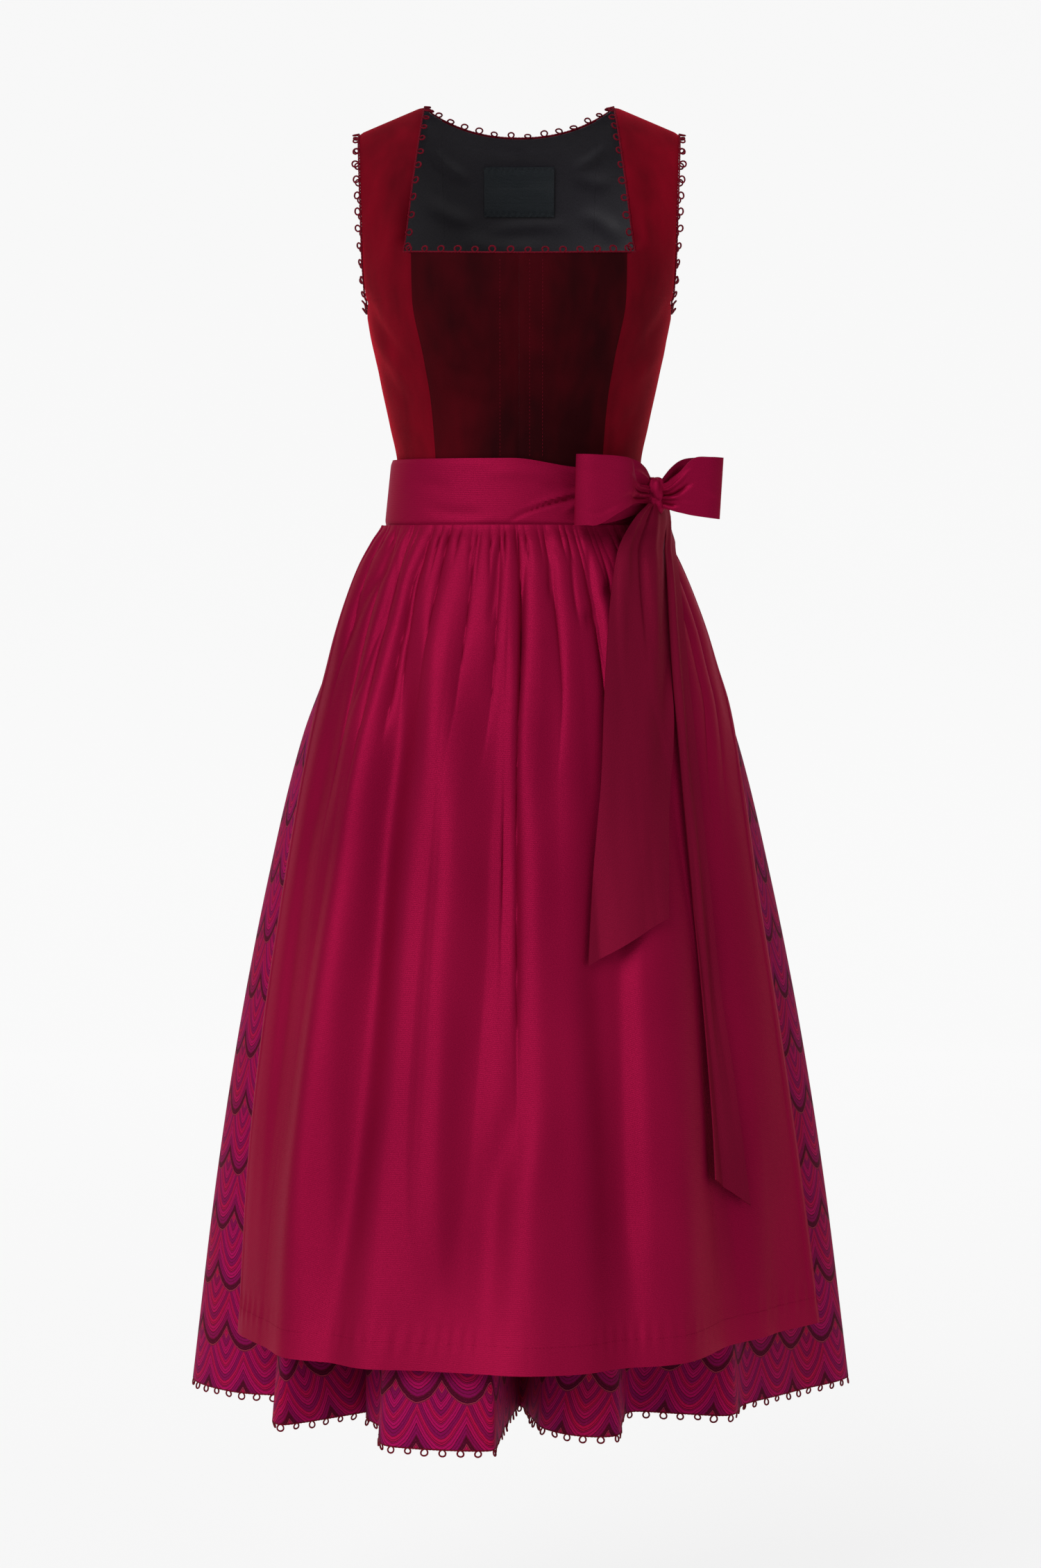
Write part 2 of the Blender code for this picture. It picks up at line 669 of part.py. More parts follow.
def grid_out(points, closed=False):
    """Directions straight out of a grid of points."""
    if closed:
        across = np.roll(points, -1, axis=1) - np.roll(points, 1, axis=1)
    else:
        across = np.gradient(points, axis=1)
    down = np.gradient(points, axis=0)
    out = np.cross(across, down)
    flat = points * np.array([1.0, 1.0, 0.0])
    out *= np.sign((out * flat).sum(-1, keepdims=True).mean())
    return out / np.linalg.norm(out, axis=-1, keepdims=True)


def hem_columns(start, end, spacing):
    """Angles round part of the hem that pass through every crest and valley."""
    angles = fold_points()[0]
    turn = 2 * math.pi
    marks = np.concatenate([angles, angles + turn])
    marks = [start] + [a for a in marks if start + 0.03 < a < end - 0.03] + [end]
    found = [start]
    for a, b in zip(marks, marks[1:]):
        fine = np.linspace(a, b, 30)
        points = around(fine, hem_radius(fine), 0.0)
        length = np.linalg.norm(np.diff(points, axis=0), axis=1).sum()
        pieces = max(1, round(length / spacing))
        found += list(np.linspace(a, b, pieces + 1)[1:])
    return np.array(found)


def arc_shares(angles, radii):
    points = around(angles, radii, 0.0)
    along = np.concatenate([[0], np.cumsum(np.linalg.norm(np.diff(points, axis=0), axis=1))])
    return along / along[-1]


def gather_wave(count, depth, reach, z_top, z):
    """Alternate columns move out and in, deepest just below the seam and gone at the reach."""
    signs = np.where(np.arange(count) % 2 == 0, 1.0, -1.0)
    below = np.clip((z_top - z) / reach, 0, 1)
    size = depth * (0.35 + 6 * below) * (1 - below) ** 2
    return size[:, None] * signs[None, :]


def skirt_half(start, end):
    """Angles of the columns of one half, at every row."""
    hem_angles = hem_columns(start, end, SKIRT_COLUMN)
    shares = arc_shares(hem_angles, hem_radius(hem_angles))
    half_width, front, back = ring_size(SKIRT_RINGS, WAIST_Z)
    depth = np.where(np.cos((start + end) / 2) > 0, front, back)
    ring_turn = start + (end - start) * shares
    waist_angles = np.unwrap(
        np.arctan2(half_width * np.sin(ring_turn), depth * np.cos(ring_turn))
    )
    waist_angles += 2 * math.pi * round((start - waist_angles[0]) / (2 * math.pi))
    mix = fall_share(np.array(SKIRT_ROWS))[:, None] ** 0.8
    return waist_angles[None, :] * (1 - mix) + hem_angles[None, :] * mix


def add_skirt(material):
    half = math.pi / 2
    front, back = skirt_half(-half, half), skirt_half(half, 3 * half)
    angle = np.concatenate([front[:, :-1], back[:, :-1]], axis=1)
    z = np.array(SKIRT_ROWS)
    radius = skirt_radius(angle, z[:, None])
    total = angle.shape[1]
    radius += gather_wave(total, SKIRT_GATHER_DEPTH, SKIRT_GATHER_REACH, WAIST_Z, z)
    points = around(angle, radius, z[:, None])
    out = grid_out(points, closed=True)
    seam = front.shape[1] - 1
    for name, columns in (
        ("skirt_front", list(range(seam + 1))),
        ("skirt_back", list(range(seam, total)) + [0]),
    ):
        cloth, normal = points[:, columns].copy(), out[:, columns]
        for edge, inside in ((0, 1), (-1, -2)):
            run = cloth[:, inside] - cloth[:, edge]
            cloth[:, edge] += SKIRT_SEAM * run / np.linalg.norm(run, axis=1, keepdims=True)
        walls = [cloth - normal * COTTON / 2, cloth + normal * COTTON / 2]
        add_wall(name, *walls, material)
    return points[-1]


# The apron lies on the skirt: a curve through its hem points, with its own soft folds


def apron_hem_radius(angle):
    angles = [math.atan2(p.x, -p.y) for p in APRON_HEM]
    radii = [math.hypot(p.x, p.y) for p in APRON_HEM]
    return through(angles, radii, angle)


def apron_folds(angle, z):
    share = np.clip((BAND_BOTTOM_Z - z) / (BAND_BOTTOM_Z - APRON_HEM_Z), 0, 1)
    total = np.zeros(np.broadcast(angle, z).shape)
    for fold in APRON_FOLDS:
        at = np.radians(fold.top + (fold.hem - fold.top) * share)
        width = math.radians(fold.width) * (1.25 - 0.25 * share)
        peak = (BAND_BOTTOM_Z - fold.peak_z) / (BAND_BOTTOM_Z - APRON_HEM_Z)
        rising = smooth(share / peak)
        fading = 1 - 0.45 * smooth((share - peak) / (1 - peak + 1e-6))
        total += fold.depth * rising * fading * np.exp(-(((angle - at) / width) ** 2))
    return total


def apron_radius(angle, z):
    share = fall_share(z)
    plain = ring_radius(SKIRT_RINGS, angle, z) + APRON_STANDOFF
    hung = apron_hem_radius(angle) * spread_share(z) / spread_share(APRON_HEM_Z)
    radius = plain * (1 - share) + hung * share + apron_folds(angle, z)
    near = np.radians(np.arange(-4.5, 4.6, 1.5))
    below = [skirt_radius(angle + turn, z) for turn in near]
    return np.maximum(radius, np.max(below, axis=0) + APRON_CLEARANCE)


def apron_edges(z):
    """Angles of the apron's two upright edges at a height."""
    heights = [row.z for row in APRON_EDGES]
    sides = ([row.right for row in APRON_EDGES], [row.left for row in APRON_EDGES])
    return [np.radians(through(heights, side, z)) for side in sides]


def add_apron(material):
    z_top = BAND_BOTTOM_Z - SEAM_GAP
    z = z_top + (APRON_HEM_Z - z_top) * np.array(APRON_ROWS)
    columns = 2 * APRON_GATHERS + 1
    right, left = apron_edges(z)
    shares = np.linspace(0, 1, columns)
    angle = right[:, None] + (left - right)[:, None] * shares[None, :]
    radius = apron_radius(angle, z[:, None])
    radius += gather_wave(columns, APRON_GATHER_DEPTH, APRON_GATHER_REACH, BAND_BOTTOM_Z, z)
    points = around(angle, radius, z[:, None])
    out = grid_out(points)
    add_wall("apron", points - out * SATIN / 2, points + out * SATIN / 2, material)


# The waistband of the apron and its tie, which goes round the back


def band_radius(angle, z):
    wide, front, back = ring_size(BAND_RINGS, z)
    depth = np.where(np.cos(angle) > 0, front, back)
    across = np.abs(np.sin(angle) / wide) ** BAND_POWER
    deep = np.abs(np.cos(angle) / depth) ** BAND_POWER
    return (across + deep) ** (-1 / BAND_POWER)


def band_part(name, start, end, columns, material):
    shares = np.linspace(0, 1, columns + 1)
    angle = start + (end - start) * shares[None, :]
    z = np.linspace(BAND_BOTTOM_Z, BAND_TOP_Z, 4)[:, None]
    angle, z = np.broadcast_arrays(angle, z)
    outer = around(angle, band_radius(angle, z), z)
    inner = around(angle, band_radius(angle, z) - BAND_CLOTH, z)
    add_wall(name, inner, outer, material)


def add_band(material):
    end = BAND_START + 2 * math.pi
    band_part("apron_waistband", BAND_START + BAND_SEAM, BAND_END - BAND_SEAM, 22, material)
    band_part("apron_tie", BAND_END + BAND_SEAM, end - BAND_SEAM, 26, material)


# The bow: two loops, a knot and two tails


def add_ribbon(name, spine, half_heights, lean, material):
    """A ribbon on edge along a line of points, with a half height at each point."""
    across = np.linspace(-1, 1, 5)
    along = np.gradient(spine, axis=0)
    along /= np.linalg.norm(along, axis=1, keepdims=True)
    flat = np.stack([along[:, 1], -along[:, 0], np.zeros(len(spine))], axis=1)
    flat /= np.linalg.norm(flat, axis=1, keepdims=True)
    height = half_heights[:, None] * across[None, :]
    grid = spine[:, None, :] + height[..., None] * np.array([lean, 0.0, 1.0])
    squeeze = 1 - half_heights / max(half_heights)
    pleat = LOOP_PLEAT * squeeze[:, None] * np.cos(across * math.pi * 2)[None, :]
    grid = grid + flat[:, None, :] * pleat[..., None]
    out = grid_cross(grid)
    add_wall(name, grid - out * SATIN / 2, grid + out * SATIN / 2, material)


def grid_cross(points):
    out = np.cross(np.gradient(points, axis=1), np.gradient(points, axis=0))
    return out / np.linalg.norm(out, axis=-1, keepdims=True)


def open_curve(points, count):
    """Points read evenly from a smooth curve through the points given."""
    points = np.asarray(points, float)
    steps = np.linalg.norm(np.diff(points, axis=0), axis=1)
    along = np.concatenate([[0], np.cumsum(np.sqrt(steps))])
    at = np.linspace(0, along[-1], count)
    ghost_a = 2 * points[0] - points[1]
    ghost_b = 2 * points[-1] - points[-2]
    padded = np.vstack([ghost_a, points, ghost_b])
    k = np.clip(np.searchsorted(along, at) - 1, 0, len(points) - 2)
    t = ((at - along[k]) / (along[k + 1] - along[k]))[:, None]
    p0, p1, p2, p3 = (padded[k + n] for n in range(4))
    return 0.5 * (
        2 * p1 + (p2 - p0) * t + (2 * p0 - 5 * p1 + 4 * p2 - p3) * t**2
        + (3 * p1 - p0 - 3 * p2 + p3) * t**3
    )


def loop_heights(count, knot_half, full_half, reach):
    """Half heights along a loop: pinched at both ends and full past the reach."""
    share = np.abs(np.linspace(-1, 1, count))
    return knot_half + (full_half - knot_half) * smooth((1 - share) / reach)


def add_bow(material):
    for name, points, shape in (
        ("bow_loop_right", RIGHT_LOOP, RIGHT_LOOP_SHAPE),
        ("bow_loop_left", LEFT_LOOP, LEFT_LOOP_SHAPE),
    ):
        spine = open_curve(points, LOOP_POINTS)
        heights = loop_heights(LOOP_POINTS, shape.knot_half, shape.full_half, shape.reach)
        add_ribbon(name, spine, heights, shape.lean, material)
    add_knot(material)
    add_tail("bow_tail_short", SHORT_TAIL, SHORT_TAIL_SLANT, SHORT_TAIL_LIFT, material)
    add_tail("bow_tail_long", LONG_TAIL, LONG_TAIL_SLANT, LONG_TAIL_LIFT, material)


def add_knot(material):
    bm = bmesh.new()
    bmesh.ops.create_uvsphere(bm, u_segments=12, v_segments=8, radius=1.0)
    low = KNOT_Z - KNOT_SIZE[2] / 2
    out = band_radius(KNOT_ANGLE, low) + SEAM_GAP + 1.03 * KNOT_SIZE[0]
    centre = (out * math.sin(KNOT_ANGLE), -out * math.cos(KNOT_ANGLE), KNOT_Z)
    for vertex in bm.verts:
        x, y, z = vertex.co
        squared = 1 / (abs(x) ** 3 + abs(y) ** 3 + abs(z) ** 3) ** (1 / 3)
        vertex.co = [
            place + size * value * squared
            for place, size, value in zip(centre, KNOT_SIZE, (x, y, z))
        ]
    add_mesh("bow_knot", bm, material)


def add_tail(name, table, slant, lift, material):
    shares = np.linspace(-1, 1, TAIL_COLUMNS)
    down = np.linspace(0, 1, TAIL_ROWS)[:, None] ** 0.9
    z = table[0].z + (table[-1].z - table[0].z) * down
    z = z + slant / 2 * shares[None, :] * smooth((down - 0.55) / 0.45)
    heights = [row.z for row in table]
    middle = np.radians(through(heights, [row.angle for row in table], z))
    half = through(heights, [row.half_width for row in table], z)
    middle_radius = apron_radius(middle, z)
    angle = middle + shares[None, :] * half / middle_radius
    smooth_rows = [apron_radius(angle + turn, z) for turn in np.radians((-3, 0, 3))]
    radius = np.max(smooth_rows, axis=0) + SATIN + lift
    radius += APRON_GATHER_DEPTH * 1.3 * smooth((z - BAND_BOTTOM_Z + 0.16) / 0.16)
    band_lift = band_radius(angle, np.clip(z, BAND_BOTTOM_Z, BAND_TOP_Z)) + 0.0035
    radius = np.maximum(radius, band_lift) + 0.008 * smooth((z + 0.42) / 0.04)
    points = around(angle, radius, z)
    out = grid_out(points)
    add_wall(name, points - out * SATIN / 2, points + out * SATIN / 2, material)


# Picot trim: one thread that runs along an edge and makes a loop at every pitch


def read_line(line, along, at):
    at = at % along[-1]
    return np.stack([np.interp(at, along, line[:, k]) for k in range(3)], axis=-1)


def add_picots(name, standoff, edge, outward, facing, material):
    """Loops round a closed edge. outward is the way they stand and facing the cloth's own side."""
    line, out_line, face_line = (np.vstack([a, a[:1]]) for a in (edge, outward, facing))
    along = np.concatenate([[0], np.cumsum(np.linalg.norm(np.diff(line, axis=0), axis=1))])
    count = round(along[-1] / PICOT_PITCH)
    pitch = along[-1] / count
    profile = ((-0.20, 0.0), (0.0, 1.0), (0.20, 0.0))
    places, flat = [], []
    for k in range(count):
        for side, height in profile:
            at = (k + 0.5) * pitch + side * PICOT_WIDTH
            place = read_line(line, along, at)
            out = read_line(out_line, along, at)
            out /= np.linalg.norm(out)
            places.append(place + out * (standoff + height * PICOT_HEIGHT))
            flat.append(read_line(face_line, along, at))
    places, flat = np.array(places), np.array(flat)
    run = np.roll(places, -1, axis=0) - np.roll(places, 1, axis=0)
    run /= np.linalg.norm(run, axis=1, keepdims=True)
    side = np.cross(run, flat)
    side /= np.linalg.norm(side, axis=1, keepdims=True)
    flat = np.cross(side, run)
    bm = bmesh.new()
    corners = []
    for place, a, b in zip(places, flat, side):
        turns = (math.pi / 2 + 2 * math.pi * n / 3 for n in range(3))
        corners.append(
            [
                bm.verts.new(place + PICOT_THREAD * (a * math.sin(t) + b * math.cos(t)))
                for t in turns
            ]
        )
    for here, there in zip(corners, corners[1:] + corners[:1]):
        for n in range(3):
            m = (n + 1) % 3
            bm.faces.new((here[n], here[m], there[m], there[n]))
    bmesh.ops.recalc_face_normals(bm, faces=bm.faces)
    add_mesh(name, bm, material)


def neck_edge():
    """The neckline from the front centre round the wearer's left strap to the back centre."""
    parts, outs, facing = [], [], []
    x = np.linspace(0, NECK_HALF_FRONT - 0.001, 14)
    rise = rise_at(front_neck_z(x), x, FRONT)
    angle = angle_at(x, FRONT, rise)
    mid = VELVET / 2
    points = skin(FRONT, angle, rise) + skin_out(FRONT, angle, rise) * mid
    up = skin(FRONT, angle, rise + 0.02) - skin(FRONT, angle, rise)
    parts.append(points)
    outs.append(up)
    facing.append(skin_out(FRONT, angle, rise))
    rows = front_neck_rows(float(rise_at(NECKLINE_Z, NECK_HALF_FRONT, FRONT)), 16)
    x, lift = np.array(rows).T
    angle = angle_at(x, FRONT, lift)
    points = skin(FRONT, angle, lift) + skin_out(FRONT, angle, lift) * mid
    points = roll_in(points, np.zeros(len(lift)))
    inward = skin(FRONT, angle - 0.03, lift) - skin(FRONT, angle, lift)
    parts.append(points)
    outs.append(inward)
    facing.append(skin_out(FRONT, angle, lift))
    x = np.linspace(NECK_HALF_TOP - 0.001, 0, 14)
    rise = rise_at(back_neck_z(x), x, BACK)
    angle = angle_at(x, BACK, rise)
    points = skin(BACK, angle, rise) + skin_out(BACK, angle, rise) * mid
    up = skin(BACK, angle, rise + 0.02) - skin(BACK, angle, rise)
    inward = skin(BACK, angle - 0.03, rise) - skin(BACK, angle, rise)
    parts.append(points)
    outs.append(up + inward * (x / NECK_HALF_TOP)[:, None] ** 2)
    facing.append(skin_out(BACK, angle, rise))
    return [np.concatenate(found) for found in (parts, unit_rows(outs), facing)]


def unit_rows(groups):
    return [g / np.linalg.norm(g, axis=-1, keepdims=True) for g in groups]


def add_neck_picots(material):
    lines = [np.concatenate([a, mirrored(a)[::-1][1:-1]]) for a in neck_edge()]
    add_picots("picot_neckline", NECK_PICOT_OUT, *lines, material)


def armhole_edge():
    """The wearer's left armhole: up the front strap, over the shoulder and down the back."""
    mid = VELVET / 2
    parts, outs, facing = [], [], []
    for side, turn in ((FRONT, 1), (BACK, -1)):
        lift = np.linspace(0.0, 0.985, 22)[::turn]
        power = FRONT_SLOPE_POWER if side == FRONT else BACK_SLOPE_POWER
        z = UNDERARM_Z + (ridge_z(0.12) - UNDERARM_Z) * np.sin(lift * math.pi / 2) ** (2 / power)
        angle = angle_at(seam_x(ARMHOLE_EDGE, z), side, lift)
        start = ARMHOLE_ANGLE
        angle = start + (angle - start) * smooth(lift / 0.08)
        normal = skin_out(side, angle, lift)
        parts.append(skin(side, angle, lift) + normal * mid)
        away = skin(side, angle + 0.03, lift) - skin(side, angle, lift)
        away /= np.linalg.norm(away, axis=-1, keepdims=True)
        outs.append(away + normal * 0.8)
        facing.append(normal)
    for side, turn in ((BACK, 1), (FRONT, -1)):
        past = np.linspace(0.12, 1, 8)[::turn]
        if turn == -1:
            past = past[1:]
        angle = ARMHOLE_ANGLE + (math.pi / 2 - ARMHOLE_ANGLE) * past
        rise = -ARMHOLE_DIP * np.sin(past * math.pi / 2)
        normal = skin_out(side, angle, rise)
        parts.append(skin(side, angle, rise) + normal * mid)
        up = np.broadcast_to(np.array([0.0, 0.0, 1.0]), normal.shape)
        outs.append(up + normal * 0.8)
        facing.append(normal)
    return [np.concatenate(found) for found in (parts, unit_rows(outs), facing)]


def add_armhole_picots(material):
    lines = armhole_edge()
    add_picots("picot_armhole_left", ARMHOLE_PICOT_OUT, *lines, material)
    lines = [mirrored(a) for a in lines]
    add_picots("picot_armhole_right", ARMHOLE_PICOT_OUT, *lines, material)


def add_hem_picots(hem, material):
    edge = hem.copy()
    edge[:, 2] = HEM_Z
    down = np.zeros_like(edge)
    down[:, 2] = -1.0
    run = np.roll(edge, -1, axis=0) - np.roll(edge, 1, axis=0)
    facing = np.cross(run, down)
    facing /= np.linalg.norm(facing, axis=1, keepdims=True)
    add_picots("picot_hem", HEM_PICOT_OUT, edge, down, facing, material)


def main():
    clear_scene()
    velvet = make_material("velvet", (0.115, 0.004, 0.010), 0.85, 1.0)
    black = make_material("lining", (0.016, 0.016, 0.020), 0.45)
    label = make_material("label", (0.010, 0.013, 0.016), 0.6)
    cotton = make_material("printed_cotton", (0.220, 0.010, 0.060), 0.8)
    satin = make_material("apron_satin", (0.200, 0.008, 0.040), 0.4)
    thread = make_material("picot_thread", (0.120, 0.010, 0.016), 0.6)
    add_bodice(velvet, black)
    add_label(label)
    hem = add_skirt(cotton)
    add_apron(satin)
    add_band(satin)
    add_bow(satin)
    add_neck_picots(thread)
    add_armhole_picots(thread)
    add_hem_picots(hem, thread)


main()
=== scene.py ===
import math
from collections import namedtuple
from functools import partial

import bpy
import numpy as np
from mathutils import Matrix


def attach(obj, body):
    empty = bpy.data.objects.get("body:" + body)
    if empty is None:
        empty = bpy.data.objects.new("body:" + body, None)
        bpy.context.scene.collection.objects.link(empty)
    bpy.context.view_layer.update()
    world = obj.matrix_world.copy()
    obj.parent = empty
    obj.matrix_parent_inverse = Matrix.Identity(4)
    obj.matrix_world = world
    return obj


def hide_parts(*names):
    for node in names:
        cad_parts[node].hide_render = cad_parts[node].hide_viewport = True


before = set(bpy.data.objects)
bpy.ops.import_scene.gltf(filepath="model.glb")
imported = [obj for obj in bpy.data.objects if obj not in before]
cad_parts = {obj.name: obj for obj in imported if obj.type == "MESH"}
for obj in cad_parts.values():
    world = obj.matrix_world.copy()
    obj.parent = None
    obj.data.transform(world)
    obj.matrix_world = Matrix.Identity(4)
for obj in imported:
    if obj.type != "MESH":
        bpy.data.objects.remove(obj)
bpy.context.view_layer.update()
print("Frame loaded,", len(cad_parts), "nodes")

# Heights and cuts that several pieces share, in metres, the same as in the frame
dress = {
    "waist": -0.365,
    "underarm": -0.184,
    "neckline": -0.143,
    "backNeckDrop": 0.023,
    "bandTop": -0.332,
    "bandBottom": -0.394,
    "apronHem": -1.143,
    "hem": -1.213,
    "neckHalfTop": 0.0895,
    "neckHalfFront": 0.1075,
    "shoulderSlope": 0.42,
    "shoulderSpread": 0.180,
    "armholeAngle": math.radians(77),
    "armholeDip": 0.0095,
    "seamGap": 0.00008,
    "skirtSeam": 0.0001,
}
front, back = -1, 1

point = namedtuple("point", "x y")
ring = namedtuple("ring", "z halfWidth front back")
seam = namedtuple("seam", "z x")
crease = namedtuple("crease", "x0 z0 x1 z1 width depth bow")  # a trough has a negative depth
bend = namedtuple("bend", "width depth sharp path")  # path: x z x z, down the cloth


def rowsOf(kind, *rows, units=None):  # rows of numbers, in millimetres unless units says otherwise
    units = units or [1000] * len(kind._fields)
    return [kind(*(np.divide(value, per) for value, per in zip(row, units))) for row in rows]


bodiceRings = rowsOf(
    ring,
    (-400, 118.5, 98, 86.5), (-365, 113, 93.5, 81.5), (-336, 114, 94.5, 81.5), (-300, 121, 98.5, 84),
    (-256, 130.5, 108.5, 89), (-217, 138.5, 119, 94), (-184, 145.5, 123, 97),
)
skirtRings = rowsOf(
    ring,
    (-365.5, 115.5, 95.5, 83.5), (-394, 123, 101, 90), (-410, 132.5, 110, 101), (-428.6, 143, 121, 113),
    (-462, 158, 136, 129), (-495, 171, 148, 142), (-528, 182, 158, 153), (-594, 206.5, 176, 171),
    (-726, 239.5, 204, 200), (-892, 272.5, 231, 228), (-1025, 293.5, 249, 245),
    (-1213, 317.5, 269, 265),
)


# Numbers and curves


def slopesOf(xs, ys):
    steps = np.diff(xs)
    rates = np.diff(ys) / steps
    slopes = np.zeros(len(xs))
    for i in range(1, len(xs) - 1):
        if rates[i - 1] * rates[i] > 0:
            before = 2 * steps[i] + steps[i - 1]
            after = steps[i] + 2 * steps[i - 1]
            slopes[i] = (before + after) / (before / rates[i - 1] + after / rates[i])
    slopes[0], slopes[-1] = rates[0], rates[-1]
    return slopes


def through(xs, ys, at):
    xs, ys = np.asarray(xs, float), np.asarray(ys, float)
    order = np.argsort(xs)
    xs, ys = xs[order], ys[order]
    slopes = slopesOf(xs, ys)
    at = np.clip(np.asarray(at, float), xs[0], xs[-1])
    k = np.clip(np.searchsorted(xs, at) - 1, 0, len(xs) - 2)
    step = xs[k + 1] - xs[k]
    t = (at - xs[k]) / step
    return (
        ys[k] * (1 + 2 * t) * (1 - t) ** 2
        + slopes[k] * step * t * (1 - t) ** 2
        + ys[k + 1] * t * t * (3 - 2 * t)
        + slopes[k + 1] * step * t * t * (t - 1)
    )


def readRows(rows, z, *columns):  # these columns of a table, at any height
    heights = [row.z for row in rows]
    return [through(heights, [getattr(row, column) for row in rows], z) for column in columns]


def ringSize(rings, z):
    return readRows(rings, z, "halfWidth", "front", "back")


def seamAt(rows, z):
    return readRows(rows, z, "x")[0]


def signedPower(value, power):
    return np.sign(value) * np.abs(value) ** power


def smooth(t):
    t = np.clip(t, 0.0, 1.0)
    return t * t * (3 - 2 * t)


def creases(x, z, rows):  # depth of all the creases at points of a cloth, laid flat
    total = np.zeros(np.broadcast(x, z).shape)
    for row in rows:
        dx, dz = row.x1 - row.x0, row.z1 - row.z0
        length = math.hypot(dx, dz)
        along = ((x - row.x0) * dx + (z - row.z0) * dz) / length**2
        aside = ((x - row.x0) * dz - (z - row.z0) * dx) / length
        aside = aside - row.bow * 4 * along * (1 - along)
        ends = smooth((along + 0.12) / 0.45) * smooth((1.12 - along) / 0.45)
        total += row.depth * ends * np.exp(-((aside / row.width) ** 2))
    return total


def bends(x, z, rows):  # the same for creases that run down the cloth through several points
    total = np.zeros(np.broadcast(x, z).shape)
    for row in rows:
        middle = through(row.path[1::2], row.path[::2], z)
        below = (row.path[1] - z) / (row.path[1] - row.path[-1])
        ends = smooth((below + 0.10) / 0.28) * smooth((1.12 - below) / 0.40)
        total += row.depth * ends * np.exp(-(np.abs((x - middle) / row.width) ** row.sharp))
    return total


def unit(rows):
    return rows / np.maximum(np.linalg.norm(rows, axis=-1, keepdims=True), 1e-12)


def gridNormal(points):
    return np.cross(np.gradient(points, axis=1), np.gradient(points, axis=0))


def gridOut(points):  # straight out of a grid of points, away from the z axis
    out = gridNormal(points)
    flat = points * np.array([1.0, 1.0, 0.0])
    return unit(out * np.sign((out * flat).sum(-1, keepdims=True).mean()))


def edgeSpacing(count, dense=0.5):  # shares from 0 to 1, closer together at both ends
    t = np.linspace(0, 1, count + 1)
    return (1 - dense) * t + dense * (1 - np.cos(math.pi * t)) / 2


def lengths(points):  # metres along the columns and down the rows
    across = np.linalg.norm(np.diff(points, axis=1, prepend=points[:, :1]), axis=2)
    down = np.linalg.norm(np.diff(points, axis=0, prepend=points[:1]), axis=2)
    return np.cumsum(across, axis=1), np.cumsum(down, axis=0)


def nearLine(points, line):
    flat = points.reshape(-1, 3)
    nearest = np.full(len(flat), 1e9)
    for point in line:
        nearest = np.minimum(nearest, ((flat - point) ** 2).sum(1))
    return np.sqrt(nearest).reshape(points.shape[:2])


def mirrored(grid):
    return grid * np.array([-1.0, 1.0, 1.0])


# Materials


def srgb(*levels):  # red, green and blue from 0 to 255
    return (*(((c / 255 + 0.055) / 1.055) ** 2.4 if c > 10 else c / 255 / 12.92 for c in levels), 1.0)


def finish(name, sockets):
    material = bpy.data.materials.new(name)
    material.use_nodes = True
    shader = material.node_tree.nodes["Principled BSDF"]
    for socket, value in sockets.items():
        shader.inputs[socket].default_value = value
    return material, material.node_tree


def link(value, socket):
    if isinstance(value, bpy.types.NodeSocket):
        socket.id_data.links.new(value, socket)
    else:
        socket.default_value = value


def addNode(tree, kind, output=0, settings=None, **inputs):
    node = tree.nodes.new("ShaderNode" + kind)
    for name, value in (settings or {}).items():
        setattr(node, name, value)
    for name, value in inputs.items():
        link(value, node.inputs[name])
    return node.outputs[output]


def calc(operation, *values, clamp=False):
    tree = next(value.id_data for value in values if isinstance(value, bpy.types.NodeSocket))
    node = tree.nodes.new("ShaderNodeMath")
    node.operation, node.use_clamp = operation, clamp
    for value, socket in zip(values, node.inputs):
        link(value, socket)
    return node.outputs[0]


operations = "ADD", "SUBTRACT", "MULTIPLY", "DIVIDE", "MULTIPLY_ADD", "POWER", "FRACT", "FLOOR"
plus, minus, times, over, scaled, power, fraction, floor = (partial(calc, name) for name in operations)


def place(tree, kind, scale):  # cloth: metres across and along it; Object: the dress's own frame
    if kind == "cloth":
        source = addNode(tree, "UVMap", settings={"uv_map": "cloth"})
    else:
        source = addNode(tree, "TexCoord", "Object")
    return addNode(tree, "Mapping", Vector=source, Scale=scale)


def noise(tree, kind, scale, detail=2.0, roughness=0.5):
    vector = place(tree, kind, scale)
    return addNode(tree, "TexNoise", "Fac", Vector=vector, Scale=1.0, Detail=detail, Roughness=roughness)


def wave(tree, scale, direction, distortion):
    vector, settings = place(tree, "cloth", scale), {"bands_direction": direction}
    return addNode(tree, "TexWave", "Fac", settings, Vector=vector, Scale=1.0, Distortion=distortion)


def ramp(value, *stops, mode="LINEAR"):
    node = value.id_data.nodes.new("ShaderNodeValToRGB")
    node.color_ramp.interpolation = mode
    while len(node.color_ramp.elements) < len(stops):
        node.color_ramp.elements.new(0.5)
    for element, (position, colour) in zip(node.color_ramp.elements, stops):
        element.position = position
        element.color = colour
    link(value, node.inputs[0])
    return node.outputs[0]


def mixColours(factor, first, second, blend="MIX"):
    settings = {"data_type": "RGBA", "blend_type": blend}
    return addNode(first.id_data, "Mix", "Result", settings, Factor=factor, A=first, B=second)


def coat(material, colour, relief=None, depth=0.0, strength=1.0):  # gives a finish colour and relief
    shader = material.node_tree.nodes["Principled BSDF"]
    link(colour, shader.inputs["Base Color"])
    if relief is not None:
        normal = addNode(relief.id_data, "Bump", Strength=strength, Distance=depth, Height=relief)
        link(normal, shader.inputs["Normal"])
    return material


